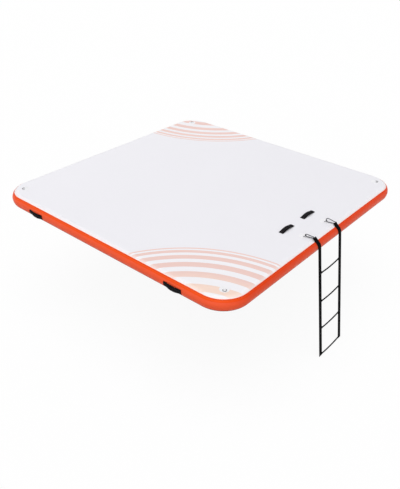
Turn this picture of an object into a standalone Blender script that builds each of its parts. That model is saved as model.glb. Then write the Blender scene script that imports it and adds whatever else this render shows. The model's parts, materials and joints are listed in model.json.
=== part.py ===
"""Inflatable dock platform with a webbing boarding ladder, in metres, +Z up.

The origin is the middle of the underside, which lies on the water. The ladder hangs on the -Y side
and the long wall with two handles that faces -X is the left wall.
"""

import math

import bmesh
import bpy
from mathutils import Matrix, Vector

# Clearances
GAP = 0.0003  # between two pieces that touch on the real dock
OVERRUN = 0.002  # how far a cutter runs past what it cuts

SMOOTH_ANGLE = math.radians(38)  # edges sharper than this stay crisp in shading

# Dock body
DOCK_SIDE = 3.05  # over the rounded side walls
DOCK_HEIGHT = 0.15
CORNER_RADIUS = 0.282  # of the side wall's widest line, seen from above
EDGE_BULGE = 0.07  # how far the rounded wall stands out past the flat deck
SKIN = 0.0012  # coated fabric
SEAM_DROP = 0.025  # from the deck down to where a skin meets the side band
TAPE_DROP = 0.015  # from the deck down to the seam tape's upper edge
TAPE_HEIGHT = 0.022
TAPE = 0.0009
CORNER_STEPS = 8
CORE_CLOTH = 0.001  # woven face of the drop-stitch cloth
CORE_INSET = 0.02  # from the flat deck's edge to the edge of that cloth
THREAD_ROWS = 6  # each column stands for the stitches around it
THREAD_WIDTH = 0.004
THREAD_INSET = 0.14  # from the flat deck's edge to the outer threads

# D-rings on their patches
RING_WIRE = 0.002  # radius
RING_HALF = 0.016  # half width between the legs' centre lines
RING_DEPTH = 0.024  # from the bar to the middle of the bow
RING_BEND = 0.003  # radius of the two corners beside the bar
PATCH_RADIUS = 0.044
PATCH = 0.0012
PATCH_BACK = 0.010  # how far the patch's centre lies behind the ring's bar
KEEPER_WIDTH = 0.022
KEEPER_LENGTH = 0.026
WEBBING_LAYER = 0.0012
CORNER_RING_INSET = 0.168  # from the widest line to the middle of a corner ring

# Handles
HANDLE_LENGTH = 0.2
HANDLE_WIDTH = 0.05
HANDLE_RISE = 0.012  # room for fingers
HANDLE_FREE = 0.184  # length of the part that arches
HANDLE_CREST = 0.03  # length of the arch's level middle
PAD = 0.003
GRIP_WEBBING = 0.0015
GRIP_WEBBING_WIDTH = 0.025
ANCHOR = 0.0012  # bonded patch that is sewn under each end of the pad
ANCHOR_LENGTH = 0.019
ANCHOR_MARGIN = 0.002  # what the pad covers past its anchors
DECK_HANDLE_OFFSET = 0.1885  # from the dock's middle line
DECK_HANDLE_INSET = 0.34  # from the widest line at the ladder's side
SIDE_HANDLE_OFFSET = 0.933
SIDE_HANDLE_HEIGHT = 0.066

# Carabiners
WIRE = 0.004  # radius
BIG_BEND = 0.019
SMALL_BEND = 0.0095
BEND_DISTANCE = 0.0665  # between the two bends, along the straight side that lies on the deck
TONGUE = 0.0026
TONGUE_HALF = 0.0036
TONGUE_REACH = 0.009  # how far the nose tongue reaches into the gate
PIVOT_DISTANCE = 0.0064  # from the end of the wire to the rivet
NOSE_DISTANCE = 0.0064  # of straight wire before the nose tongue
GATE_RADIUS = 0.0043
GATE_SLOT = 0.0032
CHEEK_REACH = 0.0044
GATE_END_GAP = 0.0004
RIVET = 0.0015  # radius
RIVET_HEAD = 0.0027
RIVET_HEAD_THICKNESS = 0.0009
RING_SEAT = (-0.0095, -0.0077)  # the ring's wire, from the big bend's centre, inside the hook
CARABINER_YAW = math.radians(13)
CARABINER_LEAN = {"left": math.radians(28), "right": 0}

# Ladder
LADDER_RING_OFFSET = 0.1905  # of each upright's D-ring from the dock's middle line
LADDER_RING_INSET = 0.123  # from the widest line to the ring's bow
LADDER_SHIFT = 0.053  # the hanging ladder's middle from the dock's middle line
LADDER_LEAN = math.radians(8.6)
STRAP_WIDTH = 0.05
STRAP = 0.003
STRAP_END = 0.005  # the upright's end is folded back and sewn
STRAP_TOUCH = math.radians(30)  # where an upright meets the wall, up from the widest line
STRAP_DIP = math.radians(42)  # how far below level an upright pulls on its hook
EYE_RADIUS = 0.0095
EYE_PLAY = 0.003  # from the hook's wire to the eye's centre
EYE_MARGIN = 0.013  # from the eye's centre to the upright's end
FOLD_LENGTH = 0.022  # of the sewn end past the eye
SWING_DROP = 0.015  # of the swing axis below the widest line
RUNG_FIRST = 0.277
RUNG_PITCH = 0.318
RUNG_COUNT = 4
RUNG_RADIUS = 0.0055
RUNG_SAG = 0.008
GUSSET_HALF = 0.014
GUSSET_LENGTH = 0.03
LADDER_FOOT = 0.015  # of upright below the last rung

# Inflation valve
VALVE_OFFSET = -0.9
BLOCK_ANGLE = math.radians(65)  # of wall, up and down from the widest line, that the valve is shaped to
VALVE_FLANGE = 0.024  # radii
VALVE_BARREL = 0.016
VALVE_BORE = 0.012
VALVE_FACE = 0.005  # how far the flange stands out past the widest line
VALVE_DEPTH = 0.030  # barrel inside the widest line
VALVE_WEB = 0.002
VALVE_WEB_INSET = 0.020  # from the widest line in to the web that guides the stem
NUT_RADIUS = 0.023
NUT_BACK = 0.012  # from the widest line in to the back of the nut
STEM = 0.002
STEM_PLATE = 0.014
STEM_PLATE_THICKNESS = 0.002
BUTTON = 0.005
BUTTON_THICKNESS = 0.002
BUTTON_INSET = 0.005
SPRING_RADIUS = 0.0038
SPRING_WIRE = 0.0004
SPRING_TURNS = 6
CAP_RADIUS = 0.02
CAP = 0.004
CAP_LOBES = 12
CAP_LOBE_DEPTH = 0.0012
PLUG_RADIUS = 0.0115
PLUG_WALL = 0.002
PLUG_DEPTH = 0.006
STUD = 0.003
STUD_HEAD = 0.0045
STUD_HEAD_THICKNESS = 0.0012
TETHER = 0.0015
TETHER_WIDTH = 0.006
TETHER_RING_WALL = 0.002

# Places worked out from the sizes above
HALF = DOCK_SIDE / 2
MIDDLE = DOCK_HEIGHT / 2
FLAT_HALF = HALF - EDGE_BULGE
FLAT_RADIUS = CORNER_RADIUS - EDGE_BULGE
BAR_HEIGHT = DOCK_HEIGHT + GAP + PATCH + WEBBING_LAYER + GAP + RING_WIRE
HOOK_HEIGHT = DOCK_HEIGHT + GAP + PATCH + GAP + WIRE + SMALL_BEND
STRAP_OFFSET = GAP + TAPE + GAP + STRAP / 2  # of the webbing's middle as it lies over the seam tape


def colour_of(name, colour, roughness, metallic=0.0):
    """One Principled material, made once for each name."""
    material = bpy.data.materials.get(name)
    if material is None:
        material = bpy.data.materials.new(name)
        material.use_nodes = True
        shader = material.node_tree.nodes["Principled BSDF"]
        shader.inputs["Base Color"].default_value = (*colour, 1.0)
        shader.inputs["Roughness"].default_value = roughness
        shader.inputs["Metallic"].default_value = metallic
    return material


def white_pvc():
    return colour_of("white_pvc", (0.84, 0.83, 0.87), 0.5)


def orange_pvc():
    return colour_of("orange_pvc", (0.85, 0.12, 0.03), 0.45)


def orange_tape():
    return colour_of("orange_tape", (0.90, 0.19, 0.06), 0.45)


def patch_pvc():
    return colour_of("patch_pvc", (0.80, 0.80, 0.82), 0.5)


def black_webbing():
    return colour_of("black_webbing", (0.012, 0.012, 0.014), 0.8)


def grey_webbing():
    return colour_of("grey_webbing", (0.045, 0.045, 0.05), 0.8)


def black_neoprene():
    return colour_of("black_neoprene", (0.010, 0.010, 0.012), 0.7)


def polyester():
    return colour_of("polyester", (0.75, 0.75, 0.72), 0.8)


def steel():
    return colour_of("steel", (0.55, 0.55, 0.57), 0.25, 1.0)


def grey_plastic():
    return colour_of("grey_plastic", (0.16, 0.16, 0.17), 0.45)


def place_object(name, bm, material, parent=None, place=None):
    """Turn a closed bmesh into a named object with its faces pointing out."""
    bmesh.ops.recalc_face_normals(bm, faces=bm.faces)
    if bm.calc_volume(signed=True) < 0:
        bmesh.ops.reverse_faces(bm, faces=bm.faces)
    mesh = bpy.data.meshes.new(name)
    bm.to_mesh(mesh)
    bm.free()
    mesh.shade_smooth()
    mesh.set_sharp_from_angle(angle=SMOOTH_ANGLE)
    mesh.materials.append(material)
    obj = bpy.data.objects.new(name, mesh)
    bpy.context.scene.collection.objects.link(obj)
    obj.parent = parent
    if place is not None:
        obj.matrix_basis = place
    return obj


def place_empty(name, place, parent=None):
    empty = bpy.data.objects.new(name, None)
    bpy.context.scene.collection.objects.link(empty)
    empty.empty_display_size = WIRE
    empty.parent = parent
    empty.matrix_basis = place
    return empty


def add_boolean(target, name, bm, operation, place=None):
    """Cut or join with a hidden guide that moves with its target."""
    guide = place_object(f"{target.name}_{name}", bm, target.data.materials[0], target, place)
    guide.hide_render = True
    guide.display_type = "WIRE"
    modifier = target.modifiers.new(name, "BOOLEAN")
    modifier.operation = operation
    modifier.solver = "EXACT"
    modifier.object = guide


def loft(bm, sections, closed=False):
    """Skin a row of equal sections. An open row gets a face at each end."""
    rings = [[bm.verts.new(point) for point in section] for section in sections]
    pairs = list(zip(rings, rings[1:]))
    if closed:
        pairs.append((rings[-1], rings[0]))
    for near, far in pairs:
        for i in range(len(near)):
            j = (i + 1) % len(near)
            bm.faces.new((near[i], near[j], far[j], far[i]))
    if not closed:
        bm.faces.new(rings[0])
        bm.faces.new(rings[-1])


def extrude_outline(bm, outline, start, end):
    """Prism over a flat outline of (y, z) points, from x = start to x = end."""
    loft(bm, [[Vector((x, y, z)) for y, z in outline] for x in (start, end)])


def cylinder(radius, start, end, sides=20):
    """Cylinder along Y from y = start to y = end."""
    bm = bmesh.new()
    sections = []
    for y in (start, end):
        sections.append([Vector((px, y, pz)) for px, pz in circle(radius, sides)])
    loft(bm, sections)
    return bm


def circle(radius, sides, first=0.0, turn=2 * math.pi):
    """Points on an arc about zero. A full turn leaves out the last point."""
    count = sides if turn == 2 * math.pi else sides + 1
    angles = [first + turn * i / sides for i in range(count)]
    return [(radius * math.cos(a), radius * math.sin(a)) for a in angles]


def sweep_flat(bm, path, normal, radius, sides, closed=False):
    """Round wire along a path that lies in one plane."""
    sections = []
    last = len(path) - 1
    for i, point in enumerate(path):
        before = path[i - 1] if closed or i > 0 else point
        after = path[(i + 1) % len(path)] if closed or i < last else point
        tangent = (after - before).normalized()
        across = tangent.cross(normal)
        section = [point + across * px + normal * pz for px, pz in circle(radius, sides)]
        sections.append(section)
    loft(bm, sections, closed)


def spread(start, end, count):
    """Evenly spaced values from start to end, both included."""
    return [start + (end - start) * i / (count - 1) for i in range(count)]


def smooth(share):
    """Ease from 0 to 1 with level ends."""
    share = min(max(share, 0.0), 1.0)
    return share * share * (3 - 2 * share)


def edge_angle(height):
    """Where a height lies on the rounded wall, as an angle from its widest line."""
    return math.asin((height - MIDDLE) / MIDDLE)


def edge_point(angle, offset=0.0):
    """A point on or off the rounded wall: distance out past the flat deck, and height."""
    cosine, sine = math.cos(angle), math.sin(angle)
    normal = Vector((cosine / EDGE_BULGE, sine / MIDDLE)).normalized()
    outward = EDGE_BULGE * cosine + normal.x * offset
    return outward, MIDDLE + MIDDLE * sine + normal.y * offset


def wall_band(top, bottom, inner, outer, steps):
    """Closed section of a band that follows the wall between two heights."""
    angles = spread(edge_angle(top), edge_angle(bottom), steps + 1)
    outside = [edge_point(angle, outer) for angle in angles]
    inside = [edge_point(angle, inner) for angle in reversed(angles)]
    return outside + inside


def plan_loop(outward, height):
    """The dock's rounded square, grown outward past the flat deck."""
    centre = FLAT_HALF - FLAT_RADIUS
    loop = []
    for quarter, (sx, sy) in enumerate(((1, 1), (-1, 1), (-1, -1), (1, -1))):
        for px, py in circle(FLAT_RADIUS + outward, CORNER_STEPS, quarter * math.pi / 2, math.pi / 2):
            loop.append(Vector((sx * centre + px, sy * centre + py, height)))
    return loop


def build_skin(name, material, flip):
    """A flat skin rolled over the edge as far as the seam. The bottom one is the top one flipped."""
    seam = edge_angle(DOCK_HEIGHT - SEAM_DROP + GAP)
    angles = spread(math.pi / 2, seam, 6)
    profile = [edge_point(angle) for angle in angles]
    profile += [edge_point(angle, -SKIN) for angle in reversed(angles)]
    bm = bmesh.new()
    loft(bm, [plan_loop(out, DOCK_HEIGHT - z if flip else z) for out, z in profile])
    return place_object(name, bm, material)


def build_side_band():
    """The wall between the two seams, with the valve's hole."""
    profile = wall_band(DOCK_HEIGHT - SEAM_DROP, SEAM_DROP, -SKIN, 0.0, 8)
    bm = bmesh.new()
    loft(bm, [plan_loop(out, z) for out, z in profile], closed=True)
    band = place_object("side_band", bm, orange_pvc())
    reach = NUT_BACK + OVERRUN
    add_boolean(band, "valve_hole", cylinder(VALVE_BARREL + GAP, -reach, reach), "DIFFERENCE", valve_place())


def build_tape(name, top):
    """Tape that covers the seam between a skin and the side band."""
    profile = wall_band(top, top - TAPE_HEIGHT, GAP, GAP + TAPE, 3)
    bm = bmesh.new()
    loft(bm, [plan_loop(out, z) for out, z in profile], closed=True)
    place_object(name, bm, orange_tape())


def build_core():
    """Drop-stitch cloth: two woven faces inside the skins, held parallel by columns of thread."""
    low, high = SKIN + GAP, DOCK_HEIGHT - SKIN - GAP
    cloth = bmesh.new()
    for heights in ((low, low + CORE_CLOTH), (high - CORE_CLOTH, high)):
        loft(cloth, [plan_loop(-CORE_INSET, z) for z in heights])
    core = place_object("drop_stitch_core", cloth, polyester())
    threads = bmesh.new()
    reach = FLAT_HALF - THREAD_INSET
    ends = (low + CORE_CLOTH / 2, high - CORE_CLOTH / 2)
    for x in spread(-reach, reach, THREAD_ROWS):
        for y in spread(-reach, reach, THREAD_ROWS):
            corners = [(x + px, y + py) for px, py in circle(THREAD_WIDTH / 2, 4)]
            loft(threads, [[Vector((px, py, z)) for px, py in corners] for z in ends])
    add_boolean(core, "threads", threads, "UNION")


def build_dock():
    build_skin("deck_skin", white_pvc(), False)
    build_skin("bottom_skin", white_pvc(), True)
    build_side_band()
    build_tape("upper_seam_tape", DOCK_HEIGHT - TAPE_DROP)
    build_tape("lower_seam_tape", TAPE_DROP + TAPE_HEIGHT)
    build_core()


def build_ring_patch(name, place):
    """Round patch with the sewn webbing loop that holds the ring's bar."""
    base = DOCK_HEIGHT + GAP
    bm = bmesh.new()
    disc = [(px, py - PATCH_BACK) for px, py in circle(PATCH_RADIUS, 24)]
    loft(bm, [[Vector((px, py, z)) for px, py in disc] for z in (base, base + PATCH)])
    patch = place_object(name, bm, patch_pvc(), None, place)
    root = base + PATCH / 2
    loop_radius = RING_WIRE + GAP + WEBBING_LAYER
    nose = circle(loop_radius, 8, math.radians(110), math.radians(-200))
    outline = [(-KEEPER_LENGTH, root), (-KEEPER_LENGTH, base + PATCH + 2 * WEBBING_LAYER)]
    outline += [(py, BAR_HEIGHT + pz) for py, pz in nose]
    outline.append((0.0, root))
    keeper = bmesh.new()
    extrude_outline(keeper, outline, -KEEPER_WIDTH / 2, KEEPER_WIDTH / 2)
    add_boolean(patch, "keeper", keeper, "UNION")
    bore = bmesh.new()
    tunnel = [(py, BAR_HEIGHT + pz) for py, pz in circle(RING_WIRE + GAP, 12)]
    reach = KEEPER_WIDTH / 2 + OVERRUN
    extrude_outline(bore, tunnel, -reach, reach)
    add_boolean(patch, "bar_tunnel", bore, "DIFFERENCE")


def build_ring(name, place):
    """D-shaped ring of round wire: bar on X through the origin, bow towards +Y."""
    leg = RING_DEPTH - RING_HALF
    path = []
    for side, first in ((1, -math.pi / 2), (-1, math.pi)):
        for px, py in circle(RING_BEND, 2, first, math.pi / 2):
            path.append(Vector((side * (RING_HALF - RING_BEND) + px, RING_BEND + py, 0.0)))
        if side == 1:
            for px, py in circle(RING_HALF, 8, 0.0, math.pi):
                path.append(Vector((px, leg + py, 0.0)))
    bm = bmesh.new()
    sweep_flat(bm, path, Vector((0, 0, 1)), RING_WIRE, 6, closed=True)
    place_object(name, bm, steel(), None, place)


def build_corner_rings():
    """One ring near each corner, its bow towards the corner, lying on its patch."""
    rest = math.asin((DOCK_HEIGHT + GAP + PATCH + GAP + RING_WIRE - BAR_HEIGHT) / RING_DEPTH)
    for end, sy in (("front", -1), ("back", 1)):
        for side, sx in (("left", -1), ("right", 1)):
            heading = math.atan2(sy, sx)
            away = Vector((math.cos(heading), math.sin(heading), 0.0))
            middle = Vector((sx, sy, 0.0)) * (HALF - CORNER_RING_INSET)
            bar = middle - away * (RING_DEPTH / 2)
            turn = Matrix.Rotation(heading - math.pi / 2, 4, "Z")
            build_ring_patch(f"dring_patch_{end}_{side}", Matrix.Translation(bar) @ turn)
            lift = Matrix.Translation((0, 0, BAR_HEIGHT)) @ Matrix.Rotation(rest, 4, "X")
            build_ring(f"dring_{end}_{side}", Matrix.Translation(bar) @ turn @ lift)


def deck_surface(centre_x, centre_y):
    """Handle coordinates on the deck: along X, across Y, lifted up."""

    def at(along, across, lift):
        return Vector((centre_x + along, centre_y + across, DOCK_HEIGHT + lift))

    return at


def wall_surface(side, centre_y):
    """Handle coordinates on a side wall: along Y, across in height, lifted off the wall."""

    def at(along, across, lift):
        outward, z = edge_point(edge_angle(SIDE_HANDLE_HEIGHT + across), lift)
        return Vector((side * (FLAT_HALF + outward), centre_y + along, z))

    return at


def handle_lift(along):
    """The arch of a handle: level in the middle, flat on the anchors at both ends."""
    slope = (HANDLE_FREE - HANDLE_CREST) / 2
    return HANDLE_RISE * smooth((HANDLE_FREE / 2 - abs(along)) / slope)


def build_arch(name, at, width, cells, base, thickness, material):
    """Strip that follows the surface under the handle and arches off it."""
    stations = [-HANDLE_LENGTH / 2, *spread(-HANDLE_FREE / 2, HANDLE_FREE / 2, 10), HANDLE_LENGTH / 2]
    across = spread(-width / 2, width / 2, cells + 1)
    sections = []
    for along in stations:
        low = base + handle_lift(along)
        section = [at(along, u, low) for u in across]
        section += [at(along, u, low + thickness) for u in reversed(across)]
        sections.append(section)
    bm = bmesh.new()
    loft(bm, sections)
    return place_object(name, bm, material)


def build_handle(name, at, cells):
    """Soft pad that arches between its two bonded anchors, and the webbing that is sewn along it."""
    base = GAP + ANCHOR
    pad = build_arch(f"{name}_pad", at, HANDLE_WIDTH, cells, base, PAD, black_neoprene())
    anchors = bmesh.new()
    reach = HANDLE_WIDTH / 2 - ANCHOR_MARGIN
    across = spread(-reach, reach, cells + 1)
    for side in (-1, 1):
        outer = side * (HANDLE_LENGTH / 2 - ANCHOR_MARGIN)
        sections = []
        for along in (outer - side * ANCHOR_LENGTH, outer):
            section = [at(along, u, GAP) for u in across]
            section += [at(along, u, base + PAD / 2) for u in reversed(across)]
            sections.append(section)
        loft(anchors, sections)
    add_boolean(pad, "anchors", anchors, "UNION")
    base += PAD + GAP
    build_arch(f"{name}_webbing", at, GRIP_WEBBING_WIDTH, cells, base, GRIP_WEBBING, grey_webbing())


def build_handles():
    for side, sx in (("left", -1), ("right", 1)):
        at = deck_surface(sx * DECK_HANDLE_OFFSET, DECK_HANDLE_INSET - HALF)
        build_handle(f"deck_handle_{side}", at, 1)
        for end, sy in (("front", -1), ("back", 1)):
            at = wall_surface(sx, sy * SIDE_HANDLE_OFFSET)
            build_handle(f"side_handle_{side}_{end}", at, 4)


class Hook:
    """Where one carabiner lies. Its own X runs from the big bend to the small one, its Z is up."""

    def __init__(self, side, sx):
        self.side = side
        big = Vector((-BEND_DISTANCE, 0.0, BIG_BEND - SMALL_BEND))
        seat = big + Vector((RING_SEAT[0], 0.0, RING_SEAT[1]))
        turn = Matrix.Rotation(CARABINER_YAW - math.pi / 2, 4, "Z")
        self.turn = turn @ Matrix.Rotation(CARABINER_LEAN[side], 4, "X")
        from_seat = self.turn @ -seat
        ring = Vector((sx * LADDER_RING_OFFSET, LADDER_RING_INSET - HALF, 0.0))
        self.bow = ring + Vector((0.0, 0.0, HOOK_HEIGHT - from_seat.z))
        self.centre = self.bow + from_seat
        self.place = Matrix.Translation(self.centre) @ self.turn
        pull = Vector((math.cos(STRAP_DIP), 0.0, -math.sin(STRAP_DIP)))
        self.eye = self.centre + self.turn @ (pull * (SMALL_BEND + EYE_PLAY))
        self.big = big
        tilt = 2 * math.atan2(BIG_BEND - SMALL_BEND, BEND_DISTANCE)
        self.out = Vector((math.sin(tilt), 0.0, math.cos(tilt)))
        self.start = self.out * SMALL_BEND
        side_line = big + self.out * BIG_BEND - self.start
        self.side_length = side_line.length
        self.along = side_line.normalized()


def build_ladder_ring(hook):
    """Ring that the carabiner pulls up off its patch."""
    rise = hook.bow.z - BAR_HEIGHT
    lift = math.asin(rise / RING_DEPTH)
    bar = Vector((hook.bow.x, hook.bow.y + RING_DEPTH * math.cos(lift), 0.0))
    turn = Matrix.Rotation(math.pi, 4, "Z")
    build_ring_patch(f"dring_patch_ladder_{hook.side}", Matrix.Translation(bar) @ turn)
    raised = Matrix.Translation((0, 0, BAR_HEIGHT)) @ Matrix.Rotation(lift, 4, "X")
    build_ring(f"dring_ladder_{hook.side}", Matrix.Translation(bar) @ turn @ raised)


def tongue(hook, start, length):
    """Flat end of the wire, rounded, lying along the gate's line."""
    bm = bmesh.new()
    root = hook.start + hook.along * start
    reach = length - math.copysign(TONGUE_HALF, length)
    first = -math.pi / 2 if length > 0 else math.pi / 2
    outline = [(-math.copysign(WIRE, length), -TONGUE_HALF), (-math.copysign(WIRE, length), TONGUE_HALF)]
    if length > 0:
        outline.reverse()
    outline += [(reach + px, pz) for px, pz in circle(TONGUE_HALF, 6, first, math.pi)]
    sections = []
    for y in (-TONGUE / 2, TONGUE / 2):
        sections.append([root + hook.along * px + hook.out * pz + Vector((0, y, 0)) for px, pz in outline])
    loft(bm, sections)
    return bm


def build_carabiner_frame(hook, carrier):
    """Bent wire from the nose round both bends to the gate's rivet."""
    nose = hook.start + hook.along * (hook.side_length - NOSE_DISTANCE)
    tangent = math.atan2(hook.out.z, hook.out.x)
    path = [nose]
    for px, pz in circle(BIG_BEND, 10, tangent, 1.5 * math.pi - tangent):
        path.append(hook.big + Vector((px, 0.0, pz)))
    for px, pz in circle(SMALL_BEND, 7, -math.pi / 2, tangent + math.pi / 2):
        path.append(Vector((px, 0.0, pz)))
    bm = bmesh.new()
    sweep_flat(bm, path, Vector((0, 1, 0)), WIRE, 8)
    frame = place_object(f"carabiner_frame_{hook.side}", bm, steel(), carrier)
    pivot_end = PIVOT_DISTANCE + TONGUE_HALF
    add_boolean(frame, "pivot_tongue", tongue(hook, 0.0, pivot_end), "UNION")
    nose_start = hook.side_length - NOSE_DISTANCE
    add_boolean(frame, "nose_tongue", tongue(hook, nose_start, -TONGUE_REACH), "UNION")
    hole = Matrix.Translation(hook.start + hook.along * PIVOT_DISTANCE)
    reach = TONGUE + OVERRUN
    add_boolean(frame, "rivet_hole", cylinder(RIVET + GAP, -reach, reach, 10), "DIFFERENCE", hole)


def build_gate(hook, carrier):
    """Straight bar, forked at both ends: one fork turns on the rivet, the other takes the nose."""
    pivot = hook.start + hook.along * PIVOT_DISTANCE
    across = hook.out.cross(hook.along)
    basis = Matrix((hook.along, across, hook.out)).transposed().to_4x4()
    place = Matrix.Translation(pivot) @ basis
    length = hook.side_length - NOSE_DISTANCE - GATE_END_GAP - PIVOT_DISTANCE
    bm = bmesh.new()
    ends = (-CHEEK_REACH, length)
    loft(bm, [[Vector((x, py, pz)) for py, pz in circle(GATE_RADIUS, 12)] for x in ends])
    gate = place_object(f"carabiner_gate_{hook.side}", bm, steel(), carrier, place)
    slots = (
        ("pivot_slot", -CHEEK_REACH - OVERRUN, TONGUE_HALF + GATE_END_GAP),
        ("nose_slot", length - TONGUE_REACH - GATE_END_GAP, length + OVERRUN),
    )
    tall = GATE_RADIUS + OVERRUN
    half = GATE_SLOT / 2
    for name, start, end in slots:
        slot = bmesh.new()
        extrude_outline(slot, [(-half, -tall), (half, -tall), (half, tall), (-half, tall)], start, end)
        add_boolean(gate, name, slot, "DIFFERENCE")
    reach = GATE_RADIUS + OVERRUN
    add_boolean(gate, "rivet_hole", cylinder(RIVET + GAP, -reach, reach, 10), "DIFFERENCE")


def build_rivet(hook, carrier):
    """Rivet with two low heads, from one side of the gate to the other."""
    head = GATE_RADIUS + GAP
    outer = head + RIVET_HEAD_THICKNESS
    steps = ((RIVET_HEAD, -outer), (RIVET_HEAD, -head), (RIVET, -head), (RIVET, head), (RIVET_HEAD, head))
    bm = bmesh.new()
    sections = []
    for radius, y in (*steps, (RIVET_HEAD, outer)):
        sections.append([Vector((px, y, pz)) for px, pz in circle(radius, 8)])
    loft(bm, sections)
    place = Matrix.Translation(hook.start + hook.along * PIVOT_DISTANCE)
    place_object(f"carabiner_rivet_{hook.side}", bm, steel(), carrier, place)


def swing_axis():
    """Where the ladder starts to hang free, on the middle of its webbing."""
    leave = math.atan(math.tan(LADDER_LEAN) * MIDDLE / EDGE_BULGE)
    outward, z = edge_point(leave, STRAP_OFFSET)
    height = MIDDLE - SWING_DROP
    outward += (z - height) * math.tan(LADDER_LEAN)
    return Vector((LADDER_SHIFT, -FLAT_HALF - outward, height))


def bezier(start, out, into, end, count):
    """Points on one cubic from start to end, without its two ends."""
    points = []
    for share in spread(0.0, 1.0, count + 2)[1:-1]:
        rest = 1 - share
        point = start * rest**3 + out * 3 * rest**2 * share + into * 3 * rest * share**2 + end * share**3
        points.append(point)
    return points


def round_end(thickness):
    """Where a webbing end that is round in side view lies before its axis, and how thick it is there."""
    angles = [i * math.pi / 7 for i in range(4)]
    return [(-thickness / 2 * math.sin(angle), thickness * math.cos(angle)) for angle in angles]


def build_top_strap(hook, sx):
    """Upright's sewn end with its eye, then its run over the rounded wall to the swing axis."""
    axis = swing_axis()
    leave = math.atan(math.tan(LADDER_LEAN) * MIDDLE / EDGE_BULGE)
    pull = Vector((0.0, -math.cos(STRAP_DIP), -math.sin(STRAP_DIP)))
    hold = Vector((0.0, hook.eye.y, hook.eye.z))
    tip = hold - pull * EYE_MARGIN
    fold = hold + pull * (FOLD_LENGTH / 2)
    contact = [edge_point(angle, STRAP_OFFSET) for angle in spread(STRAP_TOUCH, leave, 4)]
    wall = [Vector((0.0, -FLAT_HALF - out, z)) for out, z in contact]
    down = (wall[1] - wall[0]).normalized()
    handle = (wall[0] - fold).length / 3
    curve = bezier(fold, fold + pull * handle, wall[0] - down * handle, wall[0], 5)
    path = [(point, STRAP_END) for point in (tip, fold, curve[0])]
    path += [(point, STRAP) for point in (*curve[1:], *wall)]
    hang = Vector((0.0, -math.sin(LADDER_LEAN), -math.cos(LADDER_LEAN)))
    foot = Vector((0.0, axis.y, axis.z))
    path += [(foot - hang * back, width) for back, width in round_end(STRAP)]
    lengths = [0.0]
    for (before, _), (after, _) in zip(path, path[1:]):
        lengths.append(lengths[-1] + (after - before).length)
    hanging = LADDER_SHIFT + sx * LADDER_RING_OFFSET
    flat = (fold - tip).length
    sections = []
    for i, (point, thickness) in enumerate(path):
        before = path[max(i - 1, 0)][0]
        after = path[min(i + 1, len(path) - 1)][0]
        tangent = (after - before).normalized()
        normal = Vector((0.0, -tangent.z, tangent.y)) * (thickness / 2)
        share = smooth((lengths[i] - flat) / (lengths[-1] - flat))
        middle = Vector((hook.eye.x + (hanging - hook.eye.x) * share, point.y, point.z))
        half = Vector((STRAP_WIDTH / 2, 0.0, 0.0))
        corners = ((-1, -1), (1, -1), (1, 1), (-1, 1))
        sections.append([middle + half * across + normal * lift for across, lift in corners])
    bm = bmesh.new()
    loft(bm, sections)
    strap = place_object(f"ladder_top_strap_{hook.side}", bm, black_webbing())
    eye = bmesh.new()
    reach = STRAP_END / 2 + OVERRUN
    rim = circle(EYE_RADIUS, 16)
    loft(eye, [[Vector((px, py, z)) for px, py in rim] for z in (-reach, reach)])
    place = Matrix.Translation(hook.eye) @ Matrix.Rotation(STRAP_DIP, 4, "X")
    add_boolean(strap, "eye", eye, "DIFFERENCE", place)


def build_upright(name, length, foot, carrier, place):
    """One upright of one ladder link, from under its axis down to the next one, or to the foot."""
    stations = [(STRAP / 2 + GAP, STRAP)]
    if foot:
        stations.append((length + LADDER_FOOT, STRAP))
    else:
        stations += [(length - back, thickness) for back, thickness in round_end(STRAP)]
    sections = []
    for down, thickness in stations:
        reach, half = STRAP_WIDTH / 2, thickness / 2
        corners = ((-reach, -half), (reach, -half), (reach, half), (-reach, half))
        sections.append([Vector((px, py, -down)) for px, py in corners])
    bm = bmesh.new()
    loft(bm, sections)
    place_object(name, bm, black_webbing(), carrier, place)


def build_rung(name, carrier, place):
    """Slim bowed rung, flattened at both ends into the gusset that is sewn to the uprights."""
    reach = LADDER_RING_OFFSET - STRAP_WIDTH / 2 - GAP
    inner = reach - GUSSET_LENGTH
    neck = reach - GUSSET_LENGTH / 2
    stations = [-reach, -neck, *spread(-inner, inner, 7), neck, reach]
    sections = []
    for x in stations:
        share = smooth((abs(x) - inner) / GUSSET_LENGTH)
        tall = RUNG_RADIUS + (GUSSET_HALF - RUNG_RADIUS) * share
        deep = RUNG_RADIUS + (STRAP / 2 - RUNG_RADIUS) * share
        sag = -RUNG_SAG * (1 - (x / reach) ** 2)
        section = [Vector((x, py * deep, sag + pz * tall)) for py, pz in circle(1, 8)]
        sections.append(section)
    bm = bmesh.new()
    loft(bm, sections)
    place_object(name, bm, black_webbing(), carrier, place)


def build_ladder():
    """Four hinged links. Each has two uprights and the rung at its lower end."""
    lean = Matrix.Rotation(-LADDER_LEAN, 4, "X")
    carrier = place_empty("ladder_swing_axis", Matrix.Translation(swing_axis()) @ lean)
    start = 0.0
    for number in range(1, RUNG_COUNT + 1):
        end = RUNG_FIRST + RUNG_PITCH * (number - 1)
        foot = number == RUNG_COUNT
        for side, sx in (("left", -1), ("right", 1)):
            place = Matrix.Translation((sx * LADDER_RING_OFFSET, 0, -start))
            build_upright(f"ladder_strap_{side}_{number}", end - start, foot, carrier, place)
        build_rung(f"ladder_rung_{number}", carrier, Matrix.Translation((0, 0, -end)))
        start = end


def build_hooks():
    for side, sx in (("left", -1), ("right", 1)):
        hook = Hook(side, sx)
        build_ladder_ring(hook)
        carrier = place_empty(f"carabiner_axis_{side}", hook.place)
        build_carabiner_frame(hook, carrier)
        build_gate(hook, carrier)
        build_rivet(hook, carrier)
        build_top_strap(hook, sx)


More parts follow.
